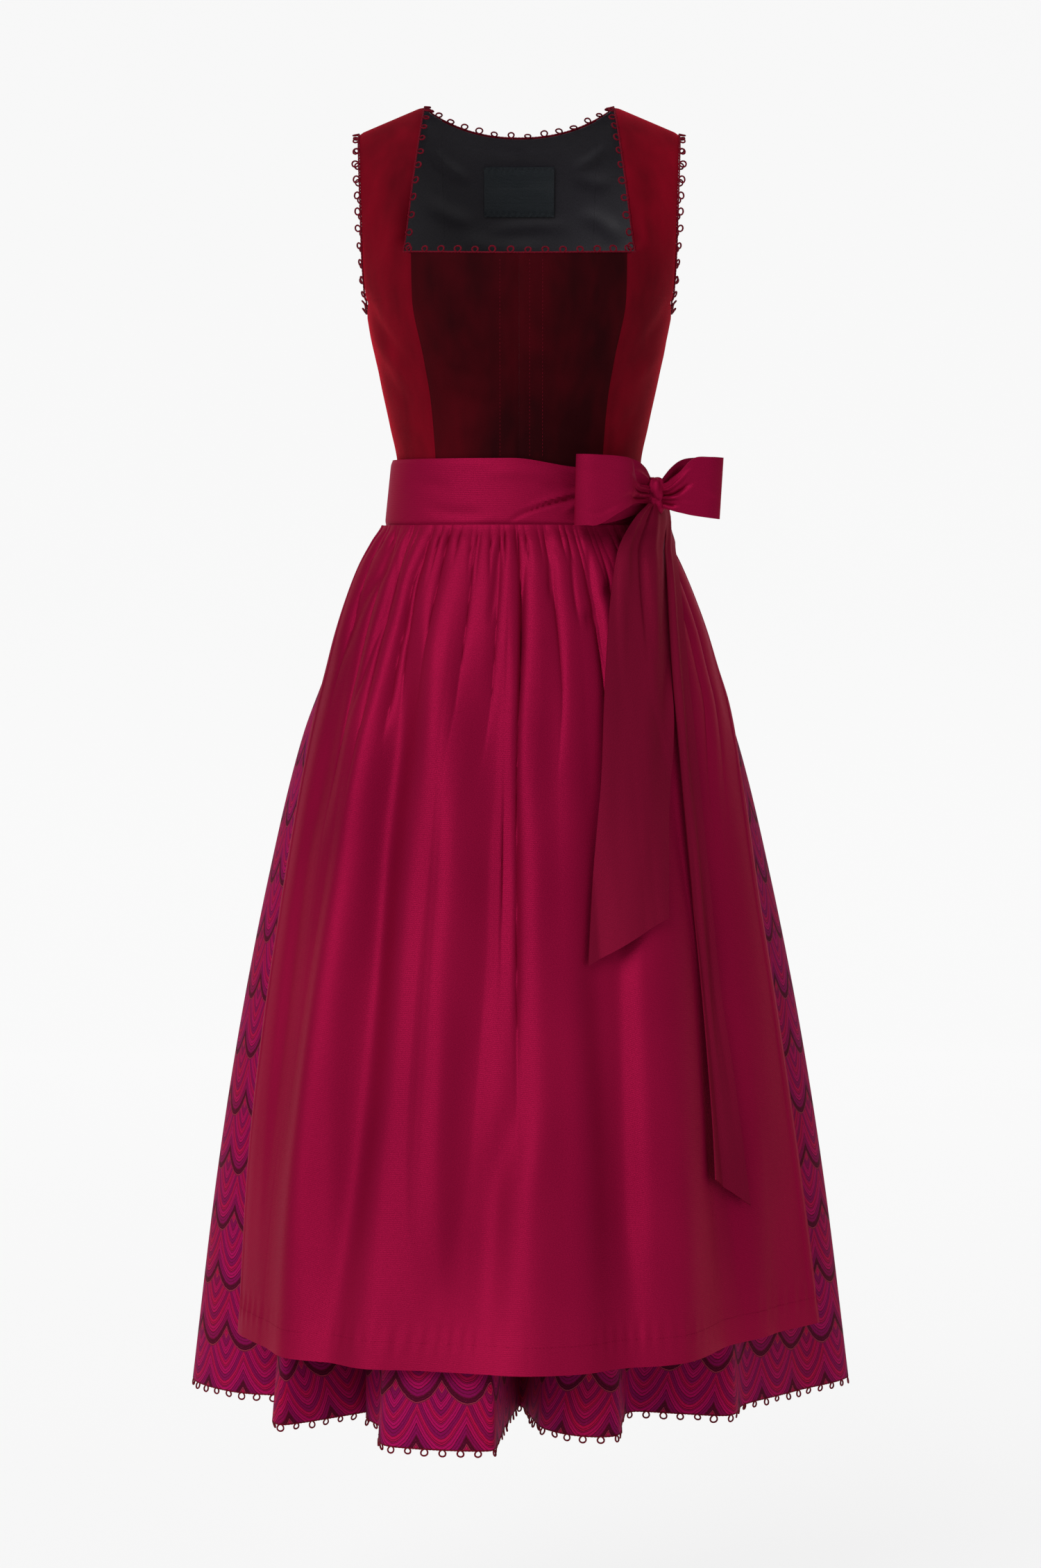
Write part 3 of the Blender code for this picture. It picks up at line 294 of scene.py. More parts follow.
velvetLook = {
    "shader": {
        "Roughness": 0.85,
        "Sheen Weight": 1.0,
        "Sheen Roughness": 0.30,
        "Sheen Tint": srgb(222, 8, 44),
        "Specular IOR Level": 0.06,
    },
    "patch": (8, 8, 3.4),
    "pile": (2600, 2600, 1700),
    "pileDepth": 0.0003,
}
apronLook = {
    "shader": {
        "Roughness": 0.44,
        "Metallic": 0.46,  # the yarns' own coloured gloss
        "Sheen Weight": 0.03,
        "Sheen Tint": srgb(210, 40, 80),
        "Specular IOR Level": 0.04,
        "Specular Tint": srgb(255, 105, 165),
    },
    "yarn": (900, 2200, 1),
    "speck": (1500, 1500, 1),
    "ribs": (0, 330, 0),
    "warp": (420, 0, 0),
    "depth": 0.00022,
}
liningLook = {
    "shader": {
        "Roughness": 0.42,
        "Sheen Weight": 0.2,
        "Sheen Tint": srgb(150, 150, 165),
        "Specular IOR Level": 0.42,
    },
    "yarn": (1400, 500, 1),
    "speck": (1800, 1800, 1),
    "ribs": (0, 600, 0),
    "warp": (600, 0, 0),
    "depth": 0.00008,
}
labelLook = {
    **liningLook,
    "shader": {**liningLook["shader"], "Roughness": 0.55},
    "ribs": (0, 220, 0),
    "warp": (900, 0, 0),
    "depth": 0.00016,
}


def velvetFinish(name, deep, brushed):
    material, tree = finish(name, velvetLook["shader"])
    patches = noise(tree, "Object", velvetLook["patch"], 4.0, 0.62)
    colour = ramp(patches, (0.36, deep), (0.66, brushed))
    pile = noise(tree, "Object", velvetLook["pile"], 1.0)
    colour = mixColours(1.0, colour, scaled(pile, 0.5, 0.75), "MULTIPLY")
    return coat(material, colour, pile, velvetLook["pileDepth"], 0.55)


def satinFinish(name, low, high, look):
    material, tree = finish(name, {**look["shader"], "Sheen Roughness": 0.45, "Anisotropic": 0.35})
    yarn = noise(tree, "cloth", look["yarn"], 2.0, 0.7)
    speck = noise(tree, "cloth", look["speck"], 1.0)
    tone = noise(tree, "Object", (7, 7, 4))
    blend = scaled(yarn, 0.55, scaled(speck, 0.35, times(tone, 0.3)))
    ribs, warp = wave(tree, look["ribs"], "Y", 0.6), wave(tree, look["warp"], "X", 0.4)
    weave = plus(times(ribs, 0.7), scaled(warp, 0.3, yarn))
    return coat(material, ramp(blend, (0.42, low), (0.78, high)), weave, look["depth"], 0.5)


printLook = {
    "shader": {
        "Roughness": 0.78,
        "Sheen Weight": 0.04,
        "Sheen Roughness": 0.5,
        "Sheen Tint": srgb(220, 60, 120),
        "Specular IOR Level": 0.06,
    },
    "scaleWidth": 0.047,  # one scale across
    "rowStep": 0.055,  # from one row of scales to the next, which is half a scale aside
    "lip": 0.019,  # how far a scale's round edge hangs down
    "round": 1.9,  # the power that shapes that edge
    "lines": 31.0,  # thin dark lines inside the height of a scale
    "lineShare": 0.28,
    "fleck": (520, 1900, 1),
    "slub": (240, 90, 1),
}


def printFinish():
    look, step, lipHeight = printLook, printLook["rowStep"], printLook["lip"]
    material, tree = finish("printedCotton", look["shader"])
    flat = tree.nodes.new("ShaderNodeSeparateXYZ")
    link(place(tree, "cloth", (1, 1, 1)), flat.inputs[0])
    wobble = noise(tree, "cloth", (14, 14, 1))
    across = scaled(wobble, 0.006, flat.outputs[0])
    upward = scaled(wobble, -0.005, flat.outputs[1])
    rows = []
    for shift in (0, 1):
        turn = scaled(across, 1 / look["scaleWidth"], 0.5 * shift)
        side = times(calc("ABSOLUTE", minus(fraction(turn), 0.5)), 2.0)
        lip = times(minus(1.0, power(side, look["round"])), lipHeight)
        count = over(minus(plus(upward, lip), shift * step), 2 * step)
        above = times(fraction(count), 2 * step)
        key = scaled(floor(turn), 3.7, times(floor(count), 7.3))
        rows.append((above, side, lip, plus(key, shift * 1.9)))
    odd = calc("LESS_THAN", rows[1][0], rows[0][0])
    above, side, lip, key = (scaled(minus(second, first), odd, first) for first, second in zip(*rows))
    peaked = times(above, 1 / (1.3 * step), clamp=True)  # the stripes turn pointed higher up in a scale
    tilted = minus(1.0, power(side, scaled(peaked, 0.95 - look["round"], look["round"])))
    band = scaled(tilted, scaled(peaked, 0.035, lipHeight), minus(above, lip))
    jitter = times(minus(noise(tree, "cloth", look["slub"], 3.0), 0.5), 0.016)
    share = plus(over(band, 2 * step + 0.03), jitter)
    rose, plum, wine = srgb(140, 44, 66), srgb(62, 3, 29), srgb(78, 4, 33)
    magenta, violet, crimson = srgb(152, 5, 78), srgb(116, 4, 70), srgb(158, 6, 66)
    stripes = (
        (0.000, rose), (0.014, plum), (0.058, wine), (0.066, violet), (0.130, wine), (0.137, magenta),
        (0.205, wine), (0.212, crimson), (0.262, violet), (0.322, wine), (0.330, magenta), (0.402, wine),
        (0.409, crimson), (0.468, violet), (0.520, wine), (0.527, magenta), (0.600, wine), (0.607, violet),
        (0.680, rose), (0.692, crimson), (0.780, plum), (0.800, violet), (0.900, plum),
    )
    colour = ramp(share, *stripes, mode="CONSTANT")
    thin = calc("LESS_THAN", fraction(times(share, look["lines"])), look["lineShare"])
    colour = mixColours(times(thin, 0.75), colour, wine)
    tint = addNode(tree, "TexWhiteNoise", "Value", {"noise_dimensions": "1D"}, W=key)
    warmth = ramp(tint, (0.0, srgb(255, 205, 235)), (0.5, srgb(250, 250, 250)), (1.0, srgb(255, 225, 210)))
    colour = mixColours(0.8, colour, warmth, "MULTIPLY")
    grain = noise(tree, "cloth", look["fleck"], 3.0, 0.75)
    colour = mixColours(1.0, colour, scaled(grain, 0.9, 0.55), "MULTIPLY")
    light = times(calc("GREATER_THAN", grain, 0.63), 0.35)
    return coat(material, mixColours(light, colour, srgb(178, 40, 104)), grain, 0.00025, 0.5)


def threadFinish():
    material, tree = finish("picotThread", {"Roughness": 0.75, "Specular IOR Level": 0.08})
    ply = noise(tree, "Object", (1600, 1600, 1600))
    return coat(material, ramp(ply, (0.35, srgb(70, 2, 16)), (0.65, srgb(116, 10, 32))), ply, 0.0003, 0.8)


# Each finish with its slot. The centre front takes a darker copy of the same velvet, which is painted shade
velvet = velvetFinish("redVelvet", srgb(80, 0, 13), srgb(126, 2, 25)), "velvet"
shadedVelvet = velvetFinish("redVelvetPaintedShade", srgb(34, 0, 3), srgb(74, 0, 10)), "velvet"
satin = satinFinish("apronSatin", srgb(107, 5, 40), srgb(152, 18, 59), apronLook), "apron_satin"
# The tails take a darker copy of the apron satin, which is painted shade
shadedTailSatin = satinFinish("shadedTailSatin", srgb(94, 9, 35), srgb(134, 20, 51), apronLook), "apron_satin"
lining = satinFinish("blackLining", srgb(23, 21, 26), srgb(47, 45, 52), liningLook), "lining"
labelCloth = satinFinish("blankLabel", srgb(20, 26, 30), srgb(38, 45, 50), labelLook), "label"
cotton = printFinish(), "printed_cotton"
thread = threadFinish(), "picot_thread"
print("Finishes ready")


# Meshes and pieces


def fillMesh(name, points, faces, flat=None):  # faces: one row of four corners each
    used, faces = np.unique(faces, return_inverse=True)
    faces = faces.reshape(-1, 4)
    mesh = bpy.data.meshes.new(name)
    mesh.vertices.add(len(used))
    mesh.vertices.foreach_set("co", points[used].astype(np.float32).ravel())
    mesh.loops.add(faces.size)
    mesh.loops.foreach_set("vertex_index", faces.ravel().astype(np.int32))
    mesh.polygons.add(len(faces))
    mesh.polygons.foreach_set("loop_start", np.arange(0, faces.size, 4, dtype=np.int32))
    mesh.update(calc_edges=True)
    if flat is not None:
        layer = mesh.uv_layers.new(name="cloth")
        layer.uv.foreach_set("vector", flat[used][faces.ravel()].astype(np.float32).ravel())
    mesh.shade_smooth()
    mesh.set_sharp_from_angle(angle=math.radians(55))
    return mesh


def quadsOf(rows, columns, ring=True, closed=False):  # four corners of each cell of a grid of points
    i = np.arange(rows if closed else rows - 1)[:, None]
    n = np.arange(columns if ring else columns - 1)[None, :]
    here, there, m = i * columns, (i + 1) % rows * columns, (n + 1) % columns
    return np.stack([here + n, there + n, there + m, here + m], axis=-1).reshape(-1, 4)


def shell(name, outer, inner, flat, keep=None):  # two faces of a cloth with a rim round them
    rows, columns = outer.shape[:2]
    index = np.arange(rows * columns).reshape(rows, columns)
    cells = np.ones((rows - 1, columns - 1), bool) if keep is None else keep
    i, j = np.nonzero(cells)
    quads = np.stack([index[i, j], index[i, j + 1], index[i + 1, j + 1], index[i + 1, j]], axis=1)
    behind = rows * columns
    held = np.pad(cells, 1)
    rims, corners = [], ((0, 0), (0, 1), (1, 1), (1, 0), (0, 0))
    for (di, dj), a, b in zip(((-1, 0), (0, 1), (1, 0), (0, -1)), corners, corners[1:]):
        bare = ~held[i + 1 + di, j + 1 + dj]
        start, end = (index[i[bare] + row, j[bare] + column] for row, column in (a, b))
        rims.append(np.stack([end, start, start + behind, end + behind], axis=1))
    faces = np.concatenate([quads, quads[:, ::-1] + behind, *rims])
    if (gridNormal(outer) * (outer - inner)).sum() < 0:
        faces = faces[:, ::-1]
    points = np.concatenate([outer.reshape(-1, 3), inner.reshape(-1, 3)])
    flat = np.concatenate([flat.reshape(-1, 2)] * 2)
    return fillMesh(name, points, faces, flat)


def tubes(name, paths, radius, sides=6):  # threads: (points, facing, closed) each
    allPoints, allFaces, start = [], [], 0
    for points, facing, closed in paths:
        if closed:
            run = np.roll(points, -1, axis=0) - np.roll(points, 1, axis=0)
        else:
            run = np.gradient(points, axis=0)
        run = unit(run)
        side = unit(np.cross(run, facing))
        flat = np.cross(side, run)
        turns = (2 * math.pi * np.arange(sides) / sides)[None, :, None]
        spokes = flat[:, None] * np.sin(turns) + side[:, None] * np.cos(turns)
        size = np.full(len(points), radius)
        if not closed:
            size[[0, -1]] *= 0.45
        allPoints.append((points[:, None] + spokes * size[:, None, None]).reshape(-1, 3))
        count = len(points)
        allFaces.append(quadsOf(count, sides, closed=closed) + start)
        if not closed:
            last = (count - 1) * sides
            ends = [(a, a + 1, b - 1, b) for a, b in ((0, sides - 1), (1, sides - 2)) if b - a > 1]
            caps = [tuple(reversed(e)) for e in ends] + [tuple(last + c for c in e) for e in ends]
            allFaces.append(np.array(caps).reshape(-1, 4) + start)
        start += count * sides
    return fillMesh(name, np.concatenate(allPoints), np.concatenate(allFaces))


def addObject(name, data, **settings):
    made = bpy.data.objects.new(name, data)
    for setting, value in settings.items():
        setattr(made, setting, value)
    bpy.context.scene.collection.objects.link(made)
    return made


def addPiece(name, mesh, cloth, *nodes):
    material, slot = cloth
    mesh.materials.append(material)
    piece = addObject(name, mesh)
    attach(piece, "root")
    if nodes:
        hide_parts(*nodes)
    return piece


def addCloth(name, outer, inner, cloth, node, flat=None, keep=None):
    if flat is None:
        flat = np.stack(lengths(outer), axis=-1)
    return addPiece(name, shell(name, outer, inner, flat, keep), cloth, node)


def addSheet(name, points, out, thickness, cloth, node, flat=None):
    half = out * thickness / 2
    return addCloth(name, points + half, points - half, cloth, node, flat)


# Bodice skin, as in the frame: an angle from the centre, and a rise that is metres below the
# underarm, and from 0 to 1 above it

bodice = {
    "cloth": 0.0016,
    "chestPower": 2.25,
    "frontSlope": 1.7,
    "backSlope": 2.3,
    "neckRoll": 0.011,
    "seamRoll": 0.0009,  # how far the edges sink at a seam
    "seamWidth": 0.0024,
    "edgeRoll": 0.0011,
    "edgeWidth": 0.0030,
    "neckDip": 0.0025,  # how far the front neckline sinks at its middle
    "sideGap": 0.0004,  # in radians, at the seam under the arm
    "ridgeGap": {front: 0.0012, back: 0.0006},  # in the rise, at the seam of the shoulder
    "columns": 30,
    "centreColumns": 42,
    "underColumns": 14,
    "lowRows": 62,
    "highRows": {front: 16, back: 60},  # above the underarm, beside the centre piece
    "neckRows": {front: 64, back: 14},
}
frontSeam = rowsOf(
    seam,
    (-370, 75.5), (-330, 77.5), (-280, 81.5), (-240, 88), (-184, 98.5), (-140, 99.5),
)
backSeam = rowsOf(
    seam,
    (-370, 45), (-280, 51), (-184, 66), (-100, 73), (0, 75),
)
armholeEdge = rowsOf(
    seam,
    (-190, 143.2), (-150, 145.5), (-100, 147), (-50, 149), (-20, 150.5),
)
# Creases of the velvet as seen from the front and from the back, x to the wearer's left
frontCreases = rowsOf(
    crease,
    (-72, -246, -18, -262, 6, -1.6, 3), (-66, -268, -22, -286, 7, -1.4, 2),
    (-74, -305, -30, -300, 8, 1, 2), (-143, -178, -108, -236, 5, -2, 4),
    (-138, -206, -98, -262, 6, 1.6, 4), (-130, -240, -100, -285, 5.5, -1.4, 2),
    (140, -180, 112, -228, 5.5, -1.8, -4), (134, -222, 102, -262, 6, 1.4, -3),
    (20, -300, 70, -316, 7, -1, -3), (118, -280, 88, -318, 6.5, -1.2, 3),
    (-4, -160, -4, -325, 2.6, -0.7, 1), (118, -90, 136, -140, 6, -1.2, 2),
    (-116, -75, -138, -120, 6.5, -1.3, -2), (-104, -120, -128, -158, 7, 1.2, 2),
)
backCreases = rowsOf(
    crease,
    (-70, -252, -12, -268, 6.5, -1.4, 3), (66, -266, 16, -284, 6.5, -1.3, -3),
    (-52, -300, 50, -306, 8, -1.4, 4), (138, -196, 104, -250, 6, -1.8, -3),
    (-138, -200, -100, -256, 6, -1.7, 3), (124, -262, 88, -300, 6, 1.3, 2),
    (-126, -270, -90, -312, 6, 1.2, -2), (-128, -90, -100, -140, 7, -1.2, 3),
    (130, -105, 98, -150, 7, -1.2, -2),
)


def slopePower(side):
    return bodice["frontSlope"] if side == front else bodice["backSlope"]


def ridge(x):
    return -dress["shoulderSlope"] * np.maximum(np.abs(x) - dress["neckHalfTop"], 0.0)


def climb(side, lift):  # share of the height above the underarm
    return signedPower(np.sin(lift * math.pi / 2), 2 / slopePower(side))


def widthAt(rise):
    halfWidth = ringSize(bodiceRings, dress["underarm"] + np.minimum(rise, 0.0))[0]
    return halfWidth + (dress["shoulderSpread"] - halfWidth) * np.sin(np.maximum(rise, 0.0) * math.pi / 2)


def skin(side, angle, rise):
    zLow = dress["underarm"] + np.minimum(rise, 0.0)
    depth = ringSize(bodiceRings, zLow)[1 if side == front else 2]
    lift = np.maximum(rise, 0.0)
    lean = signedPower(np.cos(lift * math.pi / 2), 2 / slopePower(side))
    x = widthAt(rise) * signedPower(np.sin(angle), 2 / bodice["chestPower"])
    y = side * depth * signedPower(np.cos(angle), 2 / bodice["chestPower"]) * lean
    z = zLow + (ridge(x) - dress["underarm"]) * climb(side, lift)
    return np.stack([x, y, z], axis=-1)


def angleAt(x, rise):
    return np.arcsin(np.clip(x / widthAt(rise), 0, 1) ** (bodice["chestPower"] / 2))


def riseAt(z, x, side):
    underarm = dress["underarm"]
    share = np.clip((z - underarm) / (ridge(x) - underarm), 0, 1)
    return np.where(z > underarm, np.arcsin(share ** (slopePower(side) / 2)) / (math.pi / 2), z - underarm)


def skinOut(side, angle, rise):
    turn, lift = 0.01, 0.006
    across = skin(side, angle + turn, rise) - skin(side, angle - turn, rise)
    up = skin(side, angle, rise + lift) - skin(side, angle, rise - lift)
    return unit(np.cross(up, across) * side)


def seamLevels(side, rows, lowRows, zTop):
    low = np.linspace(dress["waist"], dress["underarm"], lowRows + 1)
    top = float(riseAt(zTop, seamAt(rows, zTop), side))
    shares = climb(side, np.linspace(0, top, bodice["highRows"][side] + 1))
    high = dress["underarm"] + (zTop - dress["underarm"]) * shares / shares[-1]
    return np.concatenate([low, high[1:]])


def centrePanel(side, start, rows, levels, columns, topOf):
    underarm = dress["underarm"]
    shares = edgeSpacing(columns)
    xTop = start + (seamAt(rows, levels[-1]) - dress["seamGap"] / 2 - start) * shares
    above = np.clip((levels - underarm) / (levels[-1] - underarm), 0, 1)[:, None]
    z = np.minimum(levels, underarm)[:, None] + (topOf(xTop)[None, :] - underarm) * above
    edge = seamAt(rows, levels)[:, None] - dress["seamGap"] / 2
    x = start + (edge - start) * shares[None, :]
    rise = riseAt(z, np.abs(x), side)
    return np.sign(x) * angleAt(np.abs(x), rise), rise


def blendColumns(start, end, shares):
    return start[:, None] + (end - start)[:, None] * np.asarray(shares)[None, :]


def sidePanel(side, rows, levels, neck, strapColumns, underColumns):
    waist, underarm = dress["waist"], dress["underarm"]
    columns = strapColumns + underColumns
    zFlat = levels[levels <= underarm + 1e-6]
    lowRows = len(zFlat) - 1
    low = (zFlat - waist) / (underarm - waist)
    inner = angleAt(seamAt(rows, zFlat) + dress["seamGap"] / 2, zFlat - underarm)
    sideSeam = np.full_like(inner, math.pi / 2 - bodice["sideGap"])
    armhole = np.full_like(inner, dress["armholeAngle"])
    strapShares, underShares = edgeSpacing(strapColumns), np.linspace(0, 1, underColumns + 1)[1:]
    angle = np.concatenate(
        [blendColumns(inner, armhole, strapShares), blendColumns(armhole, sideSeam, underShares)], axis=1
    )
    past = np.clip((np.arange(columns + 1) - strapColumns) / underColumns, 0, 1)
    top = underarm - dress["armholeDip"] * np.sin(past * math.pi / 2)
    rise = (waist + (top[None, :] - waist) * low[:, None]) - underarm
    strapAngle, strapRise = [], []
    for xIn, lift in neck:
        xOut = seamAt(armholeEdge, underarm + (ridge(0.12) - underarm) * climb(side, lift))
        rowRise = np.full(strapColumns + 1, lift)
        strapAngle.append(angleAt(xIn + (xOut - xIn) * strapShares, rowRise))
        strapRise.append(rowRise)
    spare = np.full((len(strapAngle), underColumns), 0.5)
    angle = np.concatenate([angle, np.concatenate([strapAngle, spare], axis=1)])
    rise = np.concatenate([rise, np.concatenate([strapRise, spare], axis=1)])
    keep = np.ones((len(angle) - 1, columns), bool)
    keep[lowRows:, strapColumns:] = False
    return angle, rise, keep


def seamRows(side, rows, levels):
    high = levels[levels > dress["underarm"] + 1e-6]
    x = seamAt(rows, high)
    return [(float(a) + dress["seamGap"] / 2, float(riseAt(z, a, side))) for a, z in zip(x, high)]


def frontNeckRows(liftFrom, count):
    rows = []
    for k in range(count + 1):
        lift = liftFrom + 0.012 + (1 - liftFrom - 0.012) * k / count
        z = dress["underarm"] * (1 - climb(front, lift))
        narrow = dress["neckHalfFront"] - dress["neckHalfTop"]
        rows.append((dress["neckHalfTop"] + narrow * z / dress["neckline"], lift))
    return rows


def frontNeckZ(x):
    share = np.minimum(x / seamAt(frontSeam, dress["neckline"]), 1)
    return dress["neckline"] - bodice["neckDip"] * (1 - share**2)


def backNeckZ(x):
    return -dress["backNeckDrop"] * (1 - np.minimum(np.abs(x) / dress["neckHalfTop"], 1) ** 2.2)


def backNeckRows(count):
    x = np.linspace(float(seamAt(backSeam, 0.0)), dress["neckHalfTop"], count + 1)[1:]
    return [(float(a), float(riseAt(backNeckZ(a), a, back))) for a in x]


def rollIn(grid, share):
    z = grid[..., 2]
    height = smooth((z - dress["neckline"]) / 0.012) * smooth((-0.070 - z) / 0.050)
    grid = grid.copy()
    grid[..., 1] += bodice["neckRoll"] * height * np.maximum(1 - share * 3.2, 0) ** 1.5
    return grid


def sunk(points, lines, depth, width):  # how far the cloth sinks beside these lines
    total = np.zeros(points.shape[:2])
    for line in lines:
        total = np.maximum(total, depth * np.exp(-((nearLine(points, line) / width) ** 2)))
    return total


# The velvet argument picks the plain velvet or its darker copy, which is painted shade
def addPanel(name, side, angle, rise, seams, edges, keep=None, share=None, both=True, nap=velvet):
    points, out = skin(side, angle, rise), skinOut(side, angle, rise)
    if share is not None:
        points = rollIn(points, share)
    dip = sunk(points, seams, bodice["seamRoll"], bodice["seamWidth"])
    dip = np.maximum(dip, sunk(points, edges, bodice["edgeRoll"], bodice["edgeWidth"]))
    rows = frontCreases if side == front else backCreases
    for word, sign in (("left", 1), ("right", -1)) if both else (("", 1),):
        bump = creases(points[..., 0] * sign, points[..., 2], rows) - dip
        inner = points + out * np.maximum(bump, -0.0003)[..., None]
        outer = points + out * (bump + bodice["cloth"])[..., None]
        if sign < 0:
            inner, outer = mirrored(inner), mirrored(outer)
        node = f"{name}_{word}".rstrip("_")
        addCloth(node + "_velvet", outer, inner, nap, node, keep=keep)


def addBodice():  # gives the grids of its back, for the lining
    columns, low = bodice["columns"], bodice["lowRows"]

    def sidePiece(name, side, rows, levels, edge, share=None):
        angle, rise, keep = sidePanel(side, rows, levels, edge, columns, bodice["underColumns"])
        rise[-1] -= bodice["ridgeGap"][side]
        grid = skin(side, angle, rise)
        if share is not None:
            grid = rollIn(grid, share)
        top = len(levels)
        seams = [grid[:top, 0], grid[:low, -1], grid[-1, :columns]]
        edges = [grid[top:, 0], grid[low:, columns], grid[low, columns:]]
        addPanel(name, side, angle, rise, seams, edges, keep, share)
        return angle, rise, keep

    def centrePiece(name, side, angle, rise, **settings):
        grid = skin(side, angle, rise)
        addPanel(name, side, angle, rise, [grid[:, 0], grid[:, -1]], [grid[-1]], **settings)

    neckRows = bodice["neckRows"]
    levels = seamLevels(front, frontSeam, low, dress["neckline"])
    start, count = dress["seamGap"] / 2, bodice["centreColumns"]
    grid = centrePanel(front, start, frontSeam, levels, count, frontNeckZ)
    # The centre front gets the darker velvet copy: painted shade
    centrePiece("bodice_centre_front", front, *grid, nap=shadedVelvet)
    edge = seamRows(front, frontSeam, levels)
    edge += frontNeckRows(edge[-1][1], neckRows[front])
    share = np.concatenate([edgeSpacing(columns), np.ones(bodice["underColumns"])])[None, :]
    sidePiece("bodice_side_front", front, frontSeam, levels, edge, share)

    levels = seamLevels(back, backSeam, low, float(backNeckZ(seamAt(backSeam, 0.0))))
    edge = seamRows(back, backSeam, levels) + backNeckRows(neckRows[back])
    sideGrid = sidePiece("bodice_side_back", back, backSeam, levels, edge)
    half = centrePanel(back, 0.0, backSeam, levels, columns, backNeckZ)
    angle, rise = (np.concatenate([sign * a[:, :0:-1], a], axis=1) for sign, a in zip((-1, 1), half))
    centrePiece("bodice_centre_back", back, angle, rise, both=False)
    return sideGrid, (angle, rise)


liningForm = {
    "cloth": 0.0008,
    "gap": 0.0003,
    "lap": 0.008,  # in radians
    "step": 0.0002,
    "folds": rowsOf(
        crease,
        (-86, -30, -50, -60, 6, 1.6, 2), (88, -26, 52, -50, 5.5, 1.8, -2),
        (50, -52, 90, -64, 7, 1.4, 3), (-90, -80, -45, -100, 8, 1.4, 3),
        (60, -90, 100, -118, 8, 1.5, -3), (-60, -116, 30, -124, 9, 1.2, 4),
        (-40, -36, 36, -34, 4, 0.7, 2), (-30, -108, 50, -104, 6, 0.9, -3),
    ),
}


def addLining(sideGrid, centreGrid):
    gap, cloth = liningForm["gap"], liningForm["cloth"]

    def walls(angle, rise, sign, deeper=0.0):
        points, out = skin(back, angle, rise), skinOut(back, angle, rise)
        x, z = points[..., 0] * sign, points[..., 2]
        # Stays under the velvet's troughs
        velvetLow = np.minimum(creases(x, z, backCreases) + bodice["cloth"] - bodice["seamRoll"], 0)
        slack = np.maximum(creases(x, z, liningForm["folds"]), 0) - velvetLow + deeper
        return points - out * (gap + slack)[..., None], points - out * (gap + slack + cloth)[..., None]

    sideAngle = sideGrid[0].copy()
    sideAngle[:, 0] -= liningForm["lap"]  # the seam laps under the centre piece
    for word, sign in (("left", 1), ("right", -1)):
        faces = walls(sideAngle, sideGrid[1], sign)
        faces = faces if sign > 0 else [mirrored(face) for face in faces]
        node = f"lining_side_back_{word}"
        addCloth(node + "_satin", *faces, lining, node, keep=sideGrid[2])
    faces = walls(*centreGrid, 1, liningForm["step"])
    addCloth("lining_centre_back_satin", *faces, lining, "lining_centre_back")


labelSize = {
    "top": -0.047,
    "bottom": -0.094,
    "half": 0.034,
    "cloth": 0.0008,
    "gap": 0.0022,  # in from the velvet
    "pitch": 0.0030,  # of the stitches round it
    "thread": 0.00018,
}


def labelPoint(x, z, lift):
    rise = riseAt(z, x, back)
    angle = np.sign(x) * angleAt(np.abs(x), rise)
    return skin(back, angle, rise) - skinOut(back, angle, rise) * np.asarray(lift)[..., None]


def addLabel():
    half, bottom, top, gap = (labelSize[name] for name in ("half", "bottom", "top", "gap"))
    x, z = np.meshgrid(np.linspace(-half, half, 70), np.linspace(bottom, top, 50))
    fromEdge = np.minimum(z - bottom, top - z)
    pucker = 0.00035 * np.exp(-((fromEdge / 0.004) ** 2)) * np.cos(x * 2 * math.pi / 0.006)
    near = gap + 0.0004 * smooth(fromEdge / 0.008) + pucker * smooth(fromEdge / 0.002)
    faces = [labelPoint(x, z, near + deeper) for deeper in (0.0, labelSize["cloth"])]
    addCloth("label_blank", *faces, labelCloth, "label")
    across = np.arange(-half + 0.002, half - 0.003, labelSize["pitch"])
    up = np.arange(bottom + 0.002, top - 0.003, labelSize["pitch"])
    starts = [(x, z, 1, 0) for z in (bottom + 0.0014, top - 0.0014) for x in across]
    starts += [(x, z, 0, 1) for x in (-half + 0.0012, half - 0.0012) for z in up]
    runs = []
    for x, z, dx, dz in starts:
        runs.append(stitch(lambda s: labelPoint(x + s * dx, z + s * dz, np.full_like(s, gap + 0.0011))))
    addPiece("label_stitches", tubes("label_stitches", runs, labelSize["thread"], 5), labelCloth)


def stitch(pointAt, length=0.0020):  # one stitch: a short thread with both ends down in the cloth
    s = np.linspace(0, length, 5)
    points = pointAt(s)
    facing = np.tile(unit(np.cross(points[-1] - points[0], [0.13, 0.29, 0.95]))[None], (5, 1))
    return points, facing, False


frontStitches = {
    "lines": (-0.0175, 0.0097, 0.0215),
    "pitch": 0.0034,
    "top": -0.150,
    "bottom": -0.330,
    "thread": 0.00022,
}


def frontSurface(x, z):
    rise = riseAt(z, np.abs(x), front)
    angle = np.sign(x) * angleAt(np.abs(x), rise)
    bump = creases(x, z, frontCreases) + bodice["cloth"] + 0.0001
    return skin(front, angle, rise) + skinOut(front, angle, rise) * bump[..., None]


def addFrontStitches():
    runs = []
    for x in frontStitches["lines"]:
        for z in np.arange(frontStitches["bottom"], frontStitches["top"], frontStitches["pitch"]):
            runs.append(stitch(lambda s: frontSurface(np.full_like(s, x), z + s)))
    addPiece("bodice_stitches", tubes("bodice_stitches", runs, frontStitches["thread"], 5), thread)


addLining(*addBodice())
addLabel()
addFrontStitches()
print("Bodice, lining and label made")


# Skirt: a ring at the waist that turns into deep folds at the hem

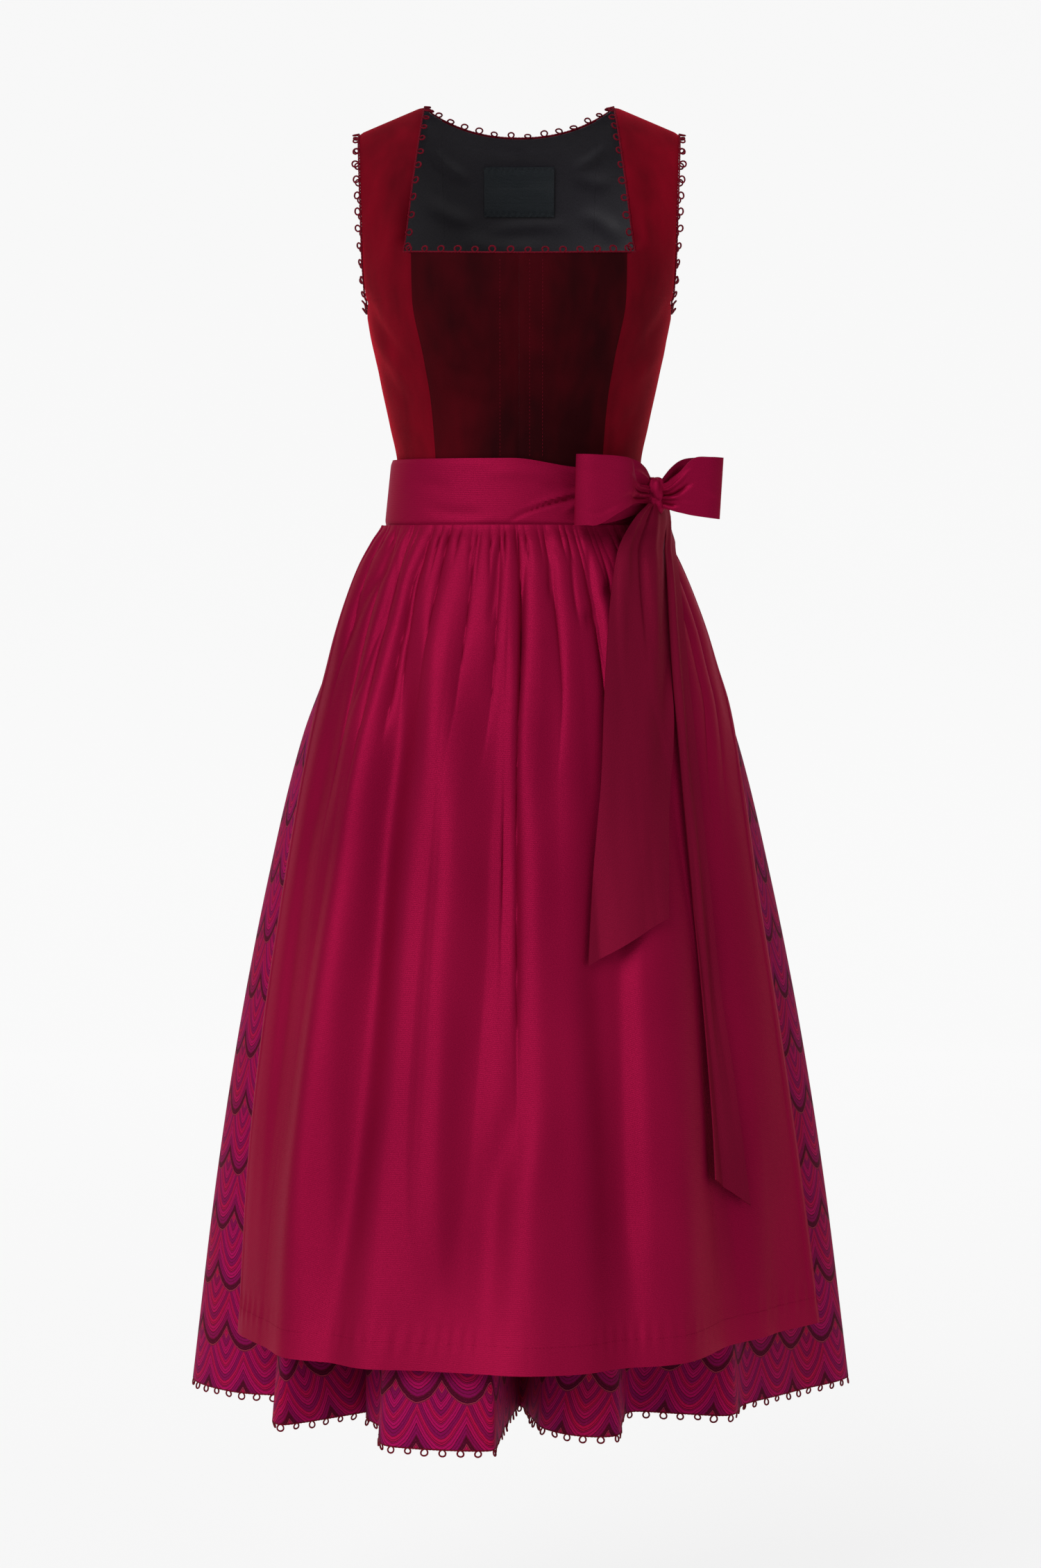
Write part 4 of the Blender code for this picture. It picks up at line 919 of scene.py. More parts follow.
# Round the hem from the right side past the front: crests, valleys and the walls between them
hemFolds = rowsOf(
    point,
    (-315, 4), (-266, -68), (-207, -86), (-219, -202), (-129, -140), (-142, -163), (-126, -205),
    (-117, -284), (-23, -302), (-13, -205), (1, -120), (11, -165), (20, -212), (86, -246), (93, -192),
    (102, -146), (152, -156), (197, -163), (207, -122), (264, -58), (319, 12), (264, 74), (268, 130),
    (169, 142), (213, 182), (159, 236), (68, 158), (86, 264), (42, 282), (-46, 278), (-52, 156),
    (-92, 264), (-165, 230), (-160, 138), (-225, 188), (-278, 122), (-265, 64),
)
skirt = {
    "cloth": 0.0012,
    "top": -0.3656,
    "rows": 100,
    "spacing": 0.0074,  # between columns at the hem
    "gathers": ((72, 0.0024, 0.08, 5), (40, 0.0030, 0.30, 17)),  # count, depth, reach, seed
}


def polar(points):  # angle from the front and radius of each point, by angle
    return np.array(sorted((math.atan2(p.x, -p.y), math.hypot(p.x, p.y)) for p in points)).T


foldAngles, foldRadii = polar(hemFolds)


def hemRadius(angle):
    turn = 2 * math.pi
    angles = np.concatenate([foldAngles - turn, foldAngles, foldAngles + turn])
    return through(angles, np.tile(foldRadii, 3), (angle + math.pi) % turn - math.pi)


def depthAt(rings, angle, z):
    halfWidth, frontDepth, backDepth = ringSize(rings, z)
    return halfWidth, np.where(np.cos(angle) > 0, frontDepth, backDepth)


def ringRadius(rings, angle, z, power=2.0):
    halfWidth, depth = depthAt(rings, angle, z)
    total = np.abs(np.sin(angle) / halfWidth) ** power + np.abs(np.cos(angle) / depth) ** power
    return total ** (-1 / power)


def fallShare(z, lowest=dress["hem"]):  # from the waistband's lower edge down
    return np.clip((dress["bandBottom"] - z) / (dress["bandBottom"] - lowest), 0, 1)


def spreadShare(z):
    return ringSize(skirtRings, z)[0] / ringSize(skirtRings, dress["hem"])[0]


def skirtRadius(angle, z):
    share = fallShare(z)
    plain = ringRadius(skirtRings, angle, z)
    return plain * (1 - share) + hemRadius(angle) * spreadShare(z) * share


def around(angle, radius, z):
    z = np.broadcast_to(z, radius.shape)
    return np.stack([radius * np.sin(angle), -radius * np.cos(angle), z], axis=-1)


def hemColumns(start, end, spacing):  # angles that pass through every crest and valley
    marks = np.concatenate([foldAngles, foldAngles + 2 * math.pi])
    marks = [start] + [a for a in marks if start + 0.003 < a < end - 0.003] + [end]
    found = [start]
    for a, b in zip(marks, marks[1:]):
        fine = np.linspace(a, b, 60)
        length = np.linalg.norm(np.diff(around(fine, hemRadius(fine), 0.0), axis=0), axis=1).sum()
        found += list(np.linspace(a, b, max(1, round(length / spacing)) + 1)[1:])
    return np.array(found)


def along(points):
    return np.concatenate([[0], np.cumsum(np.linalg.norm(np.diff(points, axis=0), axis=1))])


def readLine(line, far, at):  # a row of points or directions, read at distances along it
    return np.stack([np.interp(at, far, line[:, k]) for k in range(3)], axis=-1)


def gatherWave(shares, z, zTop, count, depth, reach, seed):  # round tubes with sharp valleys between
    random = np.random.default_rng(seed)
    valleys = (np.arange(count + 1) + random.uniform(-0.30, 0.30, count + 1)) / count
    valleys[0], valleys[-1] = -1e-6, 1 + 1e-6
    depths, reaches = random.uniform(0.45, 1.35, count), random.uniform(0.40, 1.30, count)
    drift = random.uniform(-0.35, 0.35, count + 1) / count
    drift[[0, -1]] = 0.0
    fall = np.clip((zTop - z) / reach, 0, 1)
    moved = shares + np.interp(shares[0], valleys, drift)[None, :] * fall
    k = np.clip(np.searchsorted(valleys, moved) - 1, 0, count - 1)
    t = np.clip((moved - valleys[k]) / (valleys[k + 1] - valleys[k]), 0, 1)
    middles = (valleys[:-1] + valleys[1:]) / 2
    length = np.interp(moved, middles, reaches)
    size = np.interp(moved, middles, depths)
    below = np.clip((zTop - z) / (reach * length), 0, 1)
    tube = (4 * t * (1 - t)) ** 0.55 - 0.72
    return depth * size * (0.45 + 5 * below) * (1 - below) ** 2 * tube


def skirtHalf(start, end, zRows):
    hemAngles = hemColumns(start, end, skirt["spacing"])
    hemAlong = along(around(hemAngles, hemRadius(hemAngles), 0.0))
    halfWidth, depth = depthAt(skirtRings, (start + end) / 2, dress["waist"])
    ringTurn = start + (end - start) * hemAlong / hemAlong[-1]
    waistAngles = np.unwrap(np.arctan2(halfWidth * np.sin(ringTurn), depth * np.cos(ringTurn)))
    waistAngles += 2 * math.pi * round((start - waistAngles[0]) / (2 * math.pi))
    mix = fallShare(zRows)[:, None] ** 0.8
    return waistAngles[None, :] * (1 - mix) + hemAngles[None, :] * mix, hemAlong


def softened(points, passes):  # rounds the sharp corners of a closed row
    for _ in range(passes):
        points = (np.roll(points, 1, axis=1) + 2 * points + np.roll(points, -1, axis=1)) / 4
    return points


def addSkirt():  # gives the line of the hem
    zRows = skirt["top"] + (dress["hem"] - skirt["top"]) * np.linspace(0, 1, skirt["rows"]) ** 1.35
    side = math.pi / 2
    frontAngles, frontAlong = skirtHalf(-side, side, zRows)
    backAngles, backAlong = skirtHalf(side, 3 * side, zRows)
    angle = np.concatenate([frontAngles[:, :-1], backAngles[:, :-1]], axis=1)
    hemAlong = np.concatenate([frontAlong[:-1], frontAlong[-1] + backAlong[:-1]])
    whole = frontAlong[-1] + backAlong[-1]
    z = zRows[:, None]
    points = softened(around(angle, skirtRadius(angle, z), z), 3)
    outward = unit(points * np.array([1.0, 1.0, 0.0]))
    for gathers in skirt["gathers"]:
        waves = gatherWave((hemAlong / whole)[None, :], z, dress["waist"], *gathers)
        points = points + outward * waves[..., None]
    out = np.cross(np.roll(points, -1, axis=1) - np.roll(points, 1, axis=1), np.gradient(points, axis=0))
    out = unit(out * np.sign((out * outward).sum()))
    split, total = frontAngles.shape[1] - 1, angle.shape[1]
    halves = {"skirt_front": np.arange(split + 1), "skirt_back": np.append(np.arange(split, total), 0)}
    for node, columns in halves.items():
        cloth = points[:, columns].copy()
        for edge, inside in ((0, 1), (-1, -2)):
            cloth[:, edge] += unit(cloth[:, inside] - cloth[:, edge]) * dress["skirtSeam"]
        across = hemAlong[columns]
        across = np.where(across < across[0], across + whole, across)
        flat = np.stack(np.broadcast_arrays(across[None, :], z - dress["hem"]), axis=-1)
        addSheet(node + "_cotton", cloth, out[:, columns], skirt["cloth"], cotton, node, flat)
    print("Hem of the skirt, all round:", round(whole, 3), "m")
    return points[-1]


hemLine = addSkirt()
print("Skirt made")


# Apron: lies on the skirt, gathered into its band

apronFold = namedtuple("apronFold", "top hem depth width peak")
apronHem = rowsOf(
    point,
    (-265, -85), (-249, -147), (-229, -210), (-182, -264), (-132, -296), (-83, -310), (-6, -318),
    (45, -324), (102, -291), (148, -262), (180, -218), (203, -176), (228, -136), (262, -104),
    (282, -84),
)
# Big soft folds: direction in degrees at the band and at the hem, depth, width in degrees, and
# the height where each is deepest
apronFolds = rowsOf(
    apronFold,
    (-66, -60, 10, 7.5, -950), (-53, -50, -12, 6.5, -800), (-44, -41, 12, 5, -850),
    (-33, -32, -8, 4.5, -800), (-25, -25, 8, 5, -720), (-13, -17, -20, 7.5, -900),
    (1, -1, 13, 5.5, -850), (11, 8, -6, 4, -750), (20, 15, -12, 5.5, -1000), (33, 27, 7, 6, -1000),
    (51, 43, -10, 5.5, -950), (66, 58, 8, 6.5, -950),
    units=(1, 1, 1000, 1, 1000),
)
apron = {
    "cloth": 0.0012,
    "standoff": 0.0062,
    "clearance": 0.0070,
    "leastGap": 0.0058,  # between the skirt and the bottom of a trough
    "rows": 116,
    "columns": 425,
    # Small gathers at the band, then the soft folds that they run into: count, depth, reach, seed
    "gathers": ((34, 0.0038, 0.058, 11), (16, 0.0068, 0.30, 29)),
    "turnUp": 0.027,  # height of the sewn hem
    "turnUpStep": 0.0007,
    "sideTurn": 0.012,
    "stitchPitch": 0.0036,
    "stitch": 0.0022,
    "heightColumn": 200,  # the column along which heights above the hem are read
}
# Its two upright edges, in degrees from the front
apronSide = namedtuple("apronSide", "z right left")
apronSides = rowsOf(
    apronSide,
    (-394, -83, 88), (-450, -79.7, 87.5), (-545, -75.3, 84), (-589, -72.5, 78.8), (-639, -70.8, 74.5),
    (-770, -67.5, 71), (-1143, -64.5, 73.4),
    units=(1000, 1, 1),
)
# Finer creases by x and z as seen from the front
apronCreases = rowsOf(
    crease,
    (76, -452, 100, -462, 7, -3.6, 0), (118, -560, 100, -800, 12, -4, 10),
    (-150, -700, -170, -1050, 12, 3, 6), (-60, -820, -66, -1100, 10, 2.6, 4),
    (58, -479, 74, -480, 6, -3, 0),
)
apronBends = rowsOf(
    bend,
    (4.6, -4.2, 1.6, (-118, -406, -126, -437, -137, -451.5, -151, -480, -162.5, -519)),
    (3.4, -5.2, 1.2, (-88, -418, -100, -451.5, -105, -482, -112, -514, -124.4, -588)),
    (2.6, -2.6, 1.3, (-113.5, -424.6, -117, -451.5, -132, -507, -141.7, -543.5, -151.4, -574)),
    (3.4, -3.4, 1.5, (-18.6, -415, -21, -448, -26, -481)),
    (2.8, -4.4, 1.2, (6, -428, 3.6, -464, 2.8, -486, -2, -640, -2, -900)),
    (3.6, -3.2, 1.6, (31, -426.5, 29.5, -440, 29, -462)),
    (3.4, -3.6, 1.4, (47.7, -410, 49.4, -448, 54.3, -486)),
    (4, -4.4, 1.5, (64, -415, 67, -448, 73.5, -478, 80, -530)),
    (11, 4, 1.8, (-146, -418.8, -196, -676.6, -224.5, -910.8, -239.3, -1140)),
    (19, 10.5, 2, (-128, -500, -150, -620, -172, -700, -184, -800, -194, -900, -222, -1140)),
    (15, -6, 2, (-96, -500, -112, -600, -125, -700, -130, -850, -148, -1000, -170, -1140)),
    (26, 14.5, 2, (-76, -460, -66, -600, -62, -700, -70, -800, -84, -1000, -88, -1140)),
    (22, -13, 2, (-6, -620, -8, -740, -2, -900, -22, -1000, -28, -1140)),
    (17, 7, 2, (45, -480, 45, -780, 58, -940, 64, -1140)),
    (13, -6, 2, (92, -640, 94, -800, 98, -1000, 104, -1140)),
    (18, 5, 2, (146, -720, 154, -900, 156, -1140)),
    (10, -3.6, 1.8, (180, -900, 197, -1028, 209, -1143)),
    units=(1000, 1000, 1, 1000),
)


def apronHemRadius(angle):
    return through(*polar(apronHem), angle)


def bigFolds(angle, z):
    share = fallShare(z, dress["apronHem"])
    total = np.zeros(np.broadcast(angle, z).shape)
    for fold in apronFolds:
        at = np.radians(fold.top + (fold.hem - fold.top) * share)
        width = math.radians(fold.width) * (1.25 - 0.25 * share)
        peak = fallShare(fold.peak, dress["apronHem"])
        fading = 1 - 0.45 * smooth((share - peak) / (1 - peak + 1e-6))
        total += fold.depth * smooth(share / peak) * fading * np.exp(-(((angle - at) / width) ** 2))
    return total


def softMaximum(radius, least, height, width):  # bends smoothly where the one passes the other
    return np.maximum(radius, least) + height * np.exp(-np.abs(radius - least) / width)


def apronRadius(angle, z):
    share = fallShare(z)
    plain = ringRadius(skirtRings, angle, z) + apron["standoff"]
    hung = apronHemRadius(angle) * spreadShare(z) / spreadShare(dress["apronHem"])
    radius = plain * (1 - share) + hung * share + bigFolds(angle, z)
    near = np.radians(np.arange(-4.5, 4.6, 1.5))
    below = np.max([skirtRadius(angle + turn, z) for turn in near], axis=0) + apron["clearance"]
    return softMaximum(radius, below, 0.0012, 0.003)


def addApron():
    zTop, turnUp = dress["bandBottom"] - dress["seamGap"], apron["turnUp"]
    z = zTop + (dress["apronHem"] - zTop) * np.linspace(0, 1, apron["rows"]) ** 1.25
    shares = np.linspace(0, 1, apron["columns"])[None, :]
    right, left = np.radians(readRows(apronSides, z, "right", "left"))[..., None]
    angle, z = right + (left - right) * shares, z[:, None]
    radius = apronRadius(angle, z)
    x = radius * np.sin(angle)
    fine = creases(x, z, apronCreases) + bends(x, z, apronBends)
    for gathers in apron["gathers"]:
        fine = fine + gatherWave(shares, z, dress["bandBottom"], *gathers)
    below = dress["bandBottom"] - z
    radius = radius + fine * (0.25 + 0.75 * smooth(below / 0.014))
    least = skirtRadius(angle, z) + apron["leastGap"] * smooth(below / 0.03)
    points = around(angle, softMaximum(radius, least, 0.0010, 0.0025), z)
    out = gridOut(points)
    across, down = lengths(points)
    fromHem, fromSide = down[-1:] - down, np.minimum(across, across[:, -1:] - across)
    turned = smooth(np.maximum(turnUp - fromHem, apron["sideTurn"] - fromSide) / 0.0015)
    dent = 0.0008 * np.exp(-(((fromHem - turnUp) / 0.0016) ** 2))
    uneven = np.cos(across * 2 * math.pi / 0.013 + 2.4 * np.sin(across * 41))
    uneven = uneven * (0.55 + 0.45 * np.sin(across * 27 + 1))
    pucker = 0.0006 * np.exp(-(((fromHem - turnUp) / 0.009) ** 2)) * uneven
    curled = 0.0016 * smooth((0.006 - fromSide) / 0.006)
    lift = apron["turnUpStep"] * turned - dent + pucker - curled
    outer = points + out * (lift + apron["cloth"] / 2)[..., None]
    addCloth("apron_satin_cloth", outer, points - out * apron["cloth"] / 2, satin, "apron")
    heights = fromHem[:, apron["heightColumn"]]
    row = int(np.argmin(np.abs(heights - turnUp - 0.001)))
    path = outer[row] + out[row] * 0.0001
    far, runs = along(path), []
    for at in np.arange(0.006, far[-1] - 0.006, apron["stitchPitch"]):
        spots = at + np.linspace(0, apron["stitch"], 4)
        runs.append((readLine(path, far, spots), readLine(out[row], far, spots), False))
    addPiece("apron_hem_stitches", tubes("apron_hem_stitches", runs, 0.0002, 5), satin)
    top, hem = across[[0, -1], -1]
    print("Apron: top", round(top, 3), "hem", round(hem, 3), "long", round(heights[0], 3))


addApron()
print("Apron made")


# Waistband and tie

bandRings = rowsOf(ring, (-394, 127.8, 107.5, 96.5), (-332, 121.4, 101, 89.5))
band = {
    "cloth": 0.0018,
    "power": 2.12,
    "start": math.radians(-96),
    "end": math.radians(62),
    "seam": 0.0015,
    "dropAtBow": 0.0085,  # how far the top edge sinks towards the bow
    "dropFrom": math.radians(-4),
    "dropTo": math.radians(34),
    "riseFrom": math.radians(95),  # and where it rises again, on the back
    "riseTo": math.radians(125),
    "rows": 34,
    "edgeRoll": 0.0012,
    "edgeWidth": 0.0030,
}
bandCreases = rowsOf(
    crease,
    (-6, -388.5, 60, -368, 2, -3.4, -3.5), (2, -384.5, 60, -364, 3, 1.8, -3.5),
    (22, -355.5, 60, -362.5, 3.6, -1.5, 0), (-30, -346, 40, -349, 6, 1, -2),
    (-90, -378, -30, -384, 6, -1.2, 2), (-106, -352, -64, -358, 6, -1, 1),
    (40, -382, 68, -366, 3, 1.4, 1),
)
tieCreases = rowsOf(
    crease,
    (110, -352, -20, -358, 5, -2.6, 4), (90, -370, -80, -366, 5, 2.2, -3),
    (60, -382, -110, -376, 5, -2.2, 3), (0, -344, -110, -350, 4.5, 1.8, 2),
    (112, -386, 30, -389, 4, -1.6, -1),
)


def bandRadius(angle, z):
    return ringRadius(bandRings, angle, z, band["power"])


def bandPart(name, start, end, columns, rows):
    start, end = start + band["seam"], end - band["seam"]
    angle = (start + (end - start) * np.linspace(0, 1, columns + 1))[None, :]
    turned = (angle + math.pi) % (2 * math.pi) - math.pi
    drop = band["dropAtBow"] * smooth((turned - band["dropFrom"]) / (band["dropTo"] - band["dropFrom"]))
    drop = drop * smooth((band["riseTo"] - turned) / (band["riseTo"] - band["riseFrom"]))
    share = edgeSpacing(band["rows"], 0.7)[:, None]
    z = dress["bandBottom"] + (dress["bandTop"] - dress["bandBottom"] - drop) * share
    angle, z = np.broadcast_arrays(angle, z)
    surface = around(angle, bandRadius(angle, z), z)
    out = gridOut(surface)
    fromEdge = np.minimum(z - dress["bandBottom"], dress["bandTop"] - drop - z)
    roll = band["edgeRoll"] * np.exp(-((fromEdge / band["edgeWidth"]) ** 2))
    bump = creases(surface[..., 0], z, rows) * smooth(fromEdge / 0.004) - roll
    outer = surface + out * bump[..., None]
    inner = surface + out * (np.minimum(bump, 0) * 0.3 - band["cloth"])[..., None]
    addCloth(name + "_satin", outer, inner, satin, name)


bandPart("apron_waistband", band["start"], band["end"], 220, bandCreases)
bandPart("apron_tie", band["end"], band["start"] + 2 * math.pi, 240, tieCreases)
print("Waistband and tie made")


# Bow: rows along each loop give the middle of the ribbon from above, and its top and bottom edge

bowRow = namedtuple("bowRow", "x y top bottom")
rightLoop = rowsOf(
    bowRow,
    (123, -50, -350, -374), (116.5, -62, -339.5, -379), (106, -76, -333, -385),
    (86, -92.5, -330, -391.5), (66, -104.5, -329.2, -393.8), (53.5, -114, -329, -394.4),
    (53.2, -120.5, -329, -394.5), (62, -126.5, -329.2, -394.4), (74, -127, -329.8, -393.8),
    (92, -121, -331, -383.2), (103, -111, -334, -376.5), (106.5, -98, -347, -374),
    (111, -80, -355, -373.5), (121, -60, -357, -374),
)
leftLoop = rowsOf(
    bowRow,
    (133, -44, -351, -375.5), (142, -41, -339.5, -379), (153, -36.5, -331.8, -382),
    (170, -33, -329.8, -385), (184, -33, -330, -387.2), (189.3, -36.5, -330.3, -388),
    (188.7, -44, -330.3, -388), (178, -54.5, -330, -386.8), (162, -60, -331.2, -384.5),
    (149, -61, -344, -381.5), (141, -59, -352, -379.5), (132, -54, -356, -377),
)
bow = {
    "cloth": 0.0012,
    "points": 170,
    "across": 44,
    "knotAngle": math.radians(69.4),
    "knotZ": -0.3665,
    "knotSize": (0.0108, 0.0118, 0.0180),
    "tailRows": 170,
    "tailAcross": 44,
    "puff": 0.0034,  # how far a tail stands out near the knot, and over what height
    "puffReach": 0.16,
    "overBand": 0.0035,  # how far a tail stays off the band, and how much more under the knot
    "underKnot": 0.008,
}
# Creases of a loop: share along the ribbon and share across it, both from 0 to 1
rightLoopCreases = rowsOf(
    crease,
    (0.8, 0.36, 1.02, 0.48, 0.05, -3, 0.02), (0.82, 0.62, 1.02, 0.58, 0.04, 2.4, 0.01),
    (0.84, 0.82, 1.02, 0.76, 0.04, -2, 0.01), (0.8, 0.16, 1.02, 0.34, 0.05, 2.4, -0.01),
    (0, 0.52, 0.2, 0.45, 0.07, -3, 0.02), (0, 0.28, 0.18, 0.2, 0.06, 2.6, 0.01),
    (0, 0.74, 0.17, 0.8, 0.06, 2.2, 0.01), (0.58, 0.14, 0.78, 0.3, 0.07, 1, 0.03),
    (0.6, 0.86, 0.74, 0.7, 0.08, 0.8, 0.02),
    units=(1, 1, 1, 1, 1, 1000, 1),
)
leftLoopCreases = rowsOf(
    crease,
    (0.74, 0.58, 1.02, 0.52, 0.05, -3.6, 0.05), (0.78, 0.84, 1.02, 0.66, 0.05, 2.8, 0.02),
    (0.8, 0.34, 1.02, 0.4, 0.05, 2.6, -0.02), (0.84, 0.14, 1.02, 0.24, 0.045, -2.2, 0.01),
    (0, 0.45, 0.24, 0.4, 0.07, -2.8, 0.02), (0, 0.7, 0.2, 0.82, 0.06, 2.4, 0.02),
    (0.62, 0.4, 0.76, 0.22, 0.08, -1.4, 0.02),
    units=(1, 1, 1, 1, 1, 1000, 1),
)


def openCurve(points, count):
    points = np.asarray(points, float)
    steps = np.linalg.norm(np.diff(points[:, :2], axis=0), axis=1)
    far = np.concatenate([[0], np.cumsum(np.sqrt(steps))])
    at = np.linspace(0, far[-1], count)
    padded = np.vstack([2 * points[0] - points[1], points, 2 * points[-1] - points[-2]])
    k = np.clip(np.searchsorted(far, at) - 1, 0, len(points) - 2)
    t = ((at - far[k]) / (far[k + 1] - far[k]))[:, None]
    p0, p1, p2, p3 = (padded[k + n] for n in range(4))
    square, cube = 2 * p0 - 5 * p1 + 4 * p2 - p3, 3 * p1 - p0 - 3 * p2 + p3
    return 0.5 * (2 * p1 + (p2 - p0) * t + square * t**2 + cube * t**3)


def addLoop(name, table, rows, lean):
    line = openCurve(table, bow["points"])
    x, y, top, bottom = (line[:, k : k + 1] for k in range(4))
    across = np.linspace(0, 1, bow["across"])[None, :]
    z = bottom + (top - bottom) * across
    x = x + lean * (z - (top + bottom) / 2)
    grid = np.stack([x, np.broadcast_to(y, z.shape), z], axis=-1)
    share = np.linspace(0, 1, bow["points"])[:, None]
    grid = grid + unit(gridNormal(grid)) * creases(share, across, rows)[..., None]
    addSheet(name + "_satin", grid, unit(gridNormal(grid)), bow["cloth"], satin, name)


def addKnot():
    rows, columns = 48, 96
    tilt = np.linspace(0.02, math.pi - 0.02, rows)[:, None]
    turn = np.linspace(0, 2 * math.pi, columns)[None, :]
    x, y, z = np.sin(tilt) * np.cos(turn), np.sin(tilt) * np.sin(turn), np.cos(tilt) + 0 * turn
    size = (np.abs(x) ** 3 + np.abs(y) ** 3 + np.abs(z) ** 3) ** (-1 / 3)
    fold = 0.055 * np.cos(turn * 5 + 3.1 * z + 0.8 * np.sin(turn * 2))
    fold = fold + 0.035 * np.cos(turn * 9 - 4 * z + 1.3)
    dent = 0.16 * np.exp(-(((z - 0.28 * np.sin(turn * 2 + 0.6)) / 0.13) ** 2))
    dent = dent * (0.6 + 0.4 * np.cos(turn + 0.5))
    size = size * (0.97 + fold * np.sin(tilt) - dent * np.sin(tilt))
    low = bow["knotZ"] - bow["knotSize"][2] / 2
    reach = float(bandRadius(bow["knotAngle"], low)) + dress["seamGap"] + 1.03 * bow["knotSize"][0]
    centre = around(bow["knotAngle"], np.array(reach), bow["knotZ"])
    grid = np.stack([x, y, z], axis=-1) * size[..., None] * np.array(bow["knotSize"]) + centre
    grid[:, -1] = grid[:, 0]
    points = grid[:, :-1].reshape(-1, 3)
    wrap = columns - 1
    caps = []
    for start, flip in ((0, 1), ((rows - 1) * wrap, -1)):
        for a in range(0, (wrap - 1) // 2):
            corners = (start + a, start + a + 1, start + wrap - 2 - a, start + wrap - 1 - a)
            if len(set(corners)) == 4:
                caps.append(corners[::flip])
    faces = np.concatenate([quadsOf(rows, wrap), np.array(caps)])
    flat = np.stack([points[:, 0] + points[:, 1], points[:, 2]], axis=-1)
    addPiece("bow_knot_satin", fillMesh("bow_knot_satin", points, faces, flat), satin, "bow_knot")


tailRow = namedtuple("tailRow", "z right left")  # where its two edges are, by x
shortTail = rowsOf(
    tailRow,
    (-374, 112, 126), (-385.8, 101, 132), (-401.9, 94, 136), (-427, 88, 139.5), (-463, 83.9, 142.5),
    (-521, 80.2, 144.8), (-557, 77.9, 145), (-625.7, 74.5, 140), (-669.6, 70.5, 137),
    (-717.7, 66.6, 136.2), (-790, 62, 135.2),
)
longTail = rowsOf(
    tailRow,
    (-374, 127, 137), (-390, 130.5, 141), (-409, 134.4, 144.7), (-489, 140, 154), (-557, 145.5, 160.2),
    (-625.7, 151.1, 166.6), (-717.7, 158.8, 175.3), (-835.8, 167.9, 186.4), (-898.3, 171.7, 195.6),
    (-940, 174.2, 201), (-1018, 176.3, 211.9),
)
# Creases of a tail: share across it and height
shortTailCreases = rowsOf(
    crease,
    (0.5, -384, 0.46, -450, 0.12, -4.6, 0.02), (0.2, -390, 0.16, -500, 0.12, 3, 0.02),
    (0.7, -390, 0.68, -500, 0.1, 3.6, 0.02), (0.96, -390, 1.02, -560, 0.16, -5, 0.02),
    (0.62, -480, 0.72, -740, 0.14, 1.6, 0.03), (0.3, -500, 0.26, -700, 0.14, -1.4, 0.03),
    units=(1, 1000, 1, 1000, 1, 1000, 1),
)
longTailCreases = rowsOf(
    crease,
    (0.3, -384, 0.4, -640, 0.16, 2.2, 0.03), (0.46, -600, 0.42, -980, 0.14, 2, 0.03),
    (0.8, -700, 0.84, -960, 0.14, -1.4, 0.03),
    units=(1, 1000, 1, 1000, 1, 1000, 1),
)


def addTail(name, table, slant, lift, rows):
    shares = np.linspace(-1, 1, bow["tailAcross"])[None, :]
    down = np.linspace(0, 1, bow["tailRows"])[:, None] ** 0.9
    z = table[0].z + (table[-1].z + abs(slant) / 2 - table[0].z) * down
    z = z + slant / 2 * shares * smooth((down - 0.55) / 0.45)
    right, left = readRows(table, z, "right", "left")
    x = right + (left - right) * (shares + 1) / 2
    angle = np.arcsin(x / 0.26)  # a first guess, mended below
    for _ in range(8):
        angle = (angle + np.arcsin(np.clip(x / (apronRadius(angle, z) + lift + 0.004), 0, 0.985))) / 2
    near = [apronRadius(angle + turn, z) for turn in np.radians((-3, 0, 3))]
    radius = np.max(near, axis=0) + bow["cloth"] + lift
    radius = radius + bow["puff"] * smooth((z - dress["bandBottom"]) / bow["puffReach"] + 1)
    onBand = bandRadius(angle, np.clip(z, dress["bandBottom"], dress["bandTop"])) + bow["overBand"]
    radius = np.maximum(radius, onBand) + bow["underKnot"] * smooth((z + 0.42) / 0.04)
    grid = around(angle, radius + creases((shares + 1) / 2, z, rows), z)
    # The tails' darker satin copy is painted shade
    addSheet(name + "_satin", grid, gridOut(grid), bow["cloth"], shadedTailSatin, name)


addLoop("bow_loop_right", rightLoop, rightLoopCreases, 0.028)
addLoop("bow_loop_left", leftLoop, leftLoopCreases, 0.06)
addKnot()
addTail("bow_tail_short", shortTail, 0.040, 0.0045, shortTailCreases)
addTail("bow_tail_long", longTail, -0.029, 0.0040, longTailCreases)
print("Bow made")


# Picots: one thread along an edge, with a round loop at every pitch and small knots between them

picot = {
    "thread": 0.00082,
    "pitch": 0.0160,
    "halfWidth": 0.0033,
    "height": 0.0060,
    "standoff": 0.0004,
    "loopSteps": 20,
    "baseSteps": 12,
    "seed": 3,
}


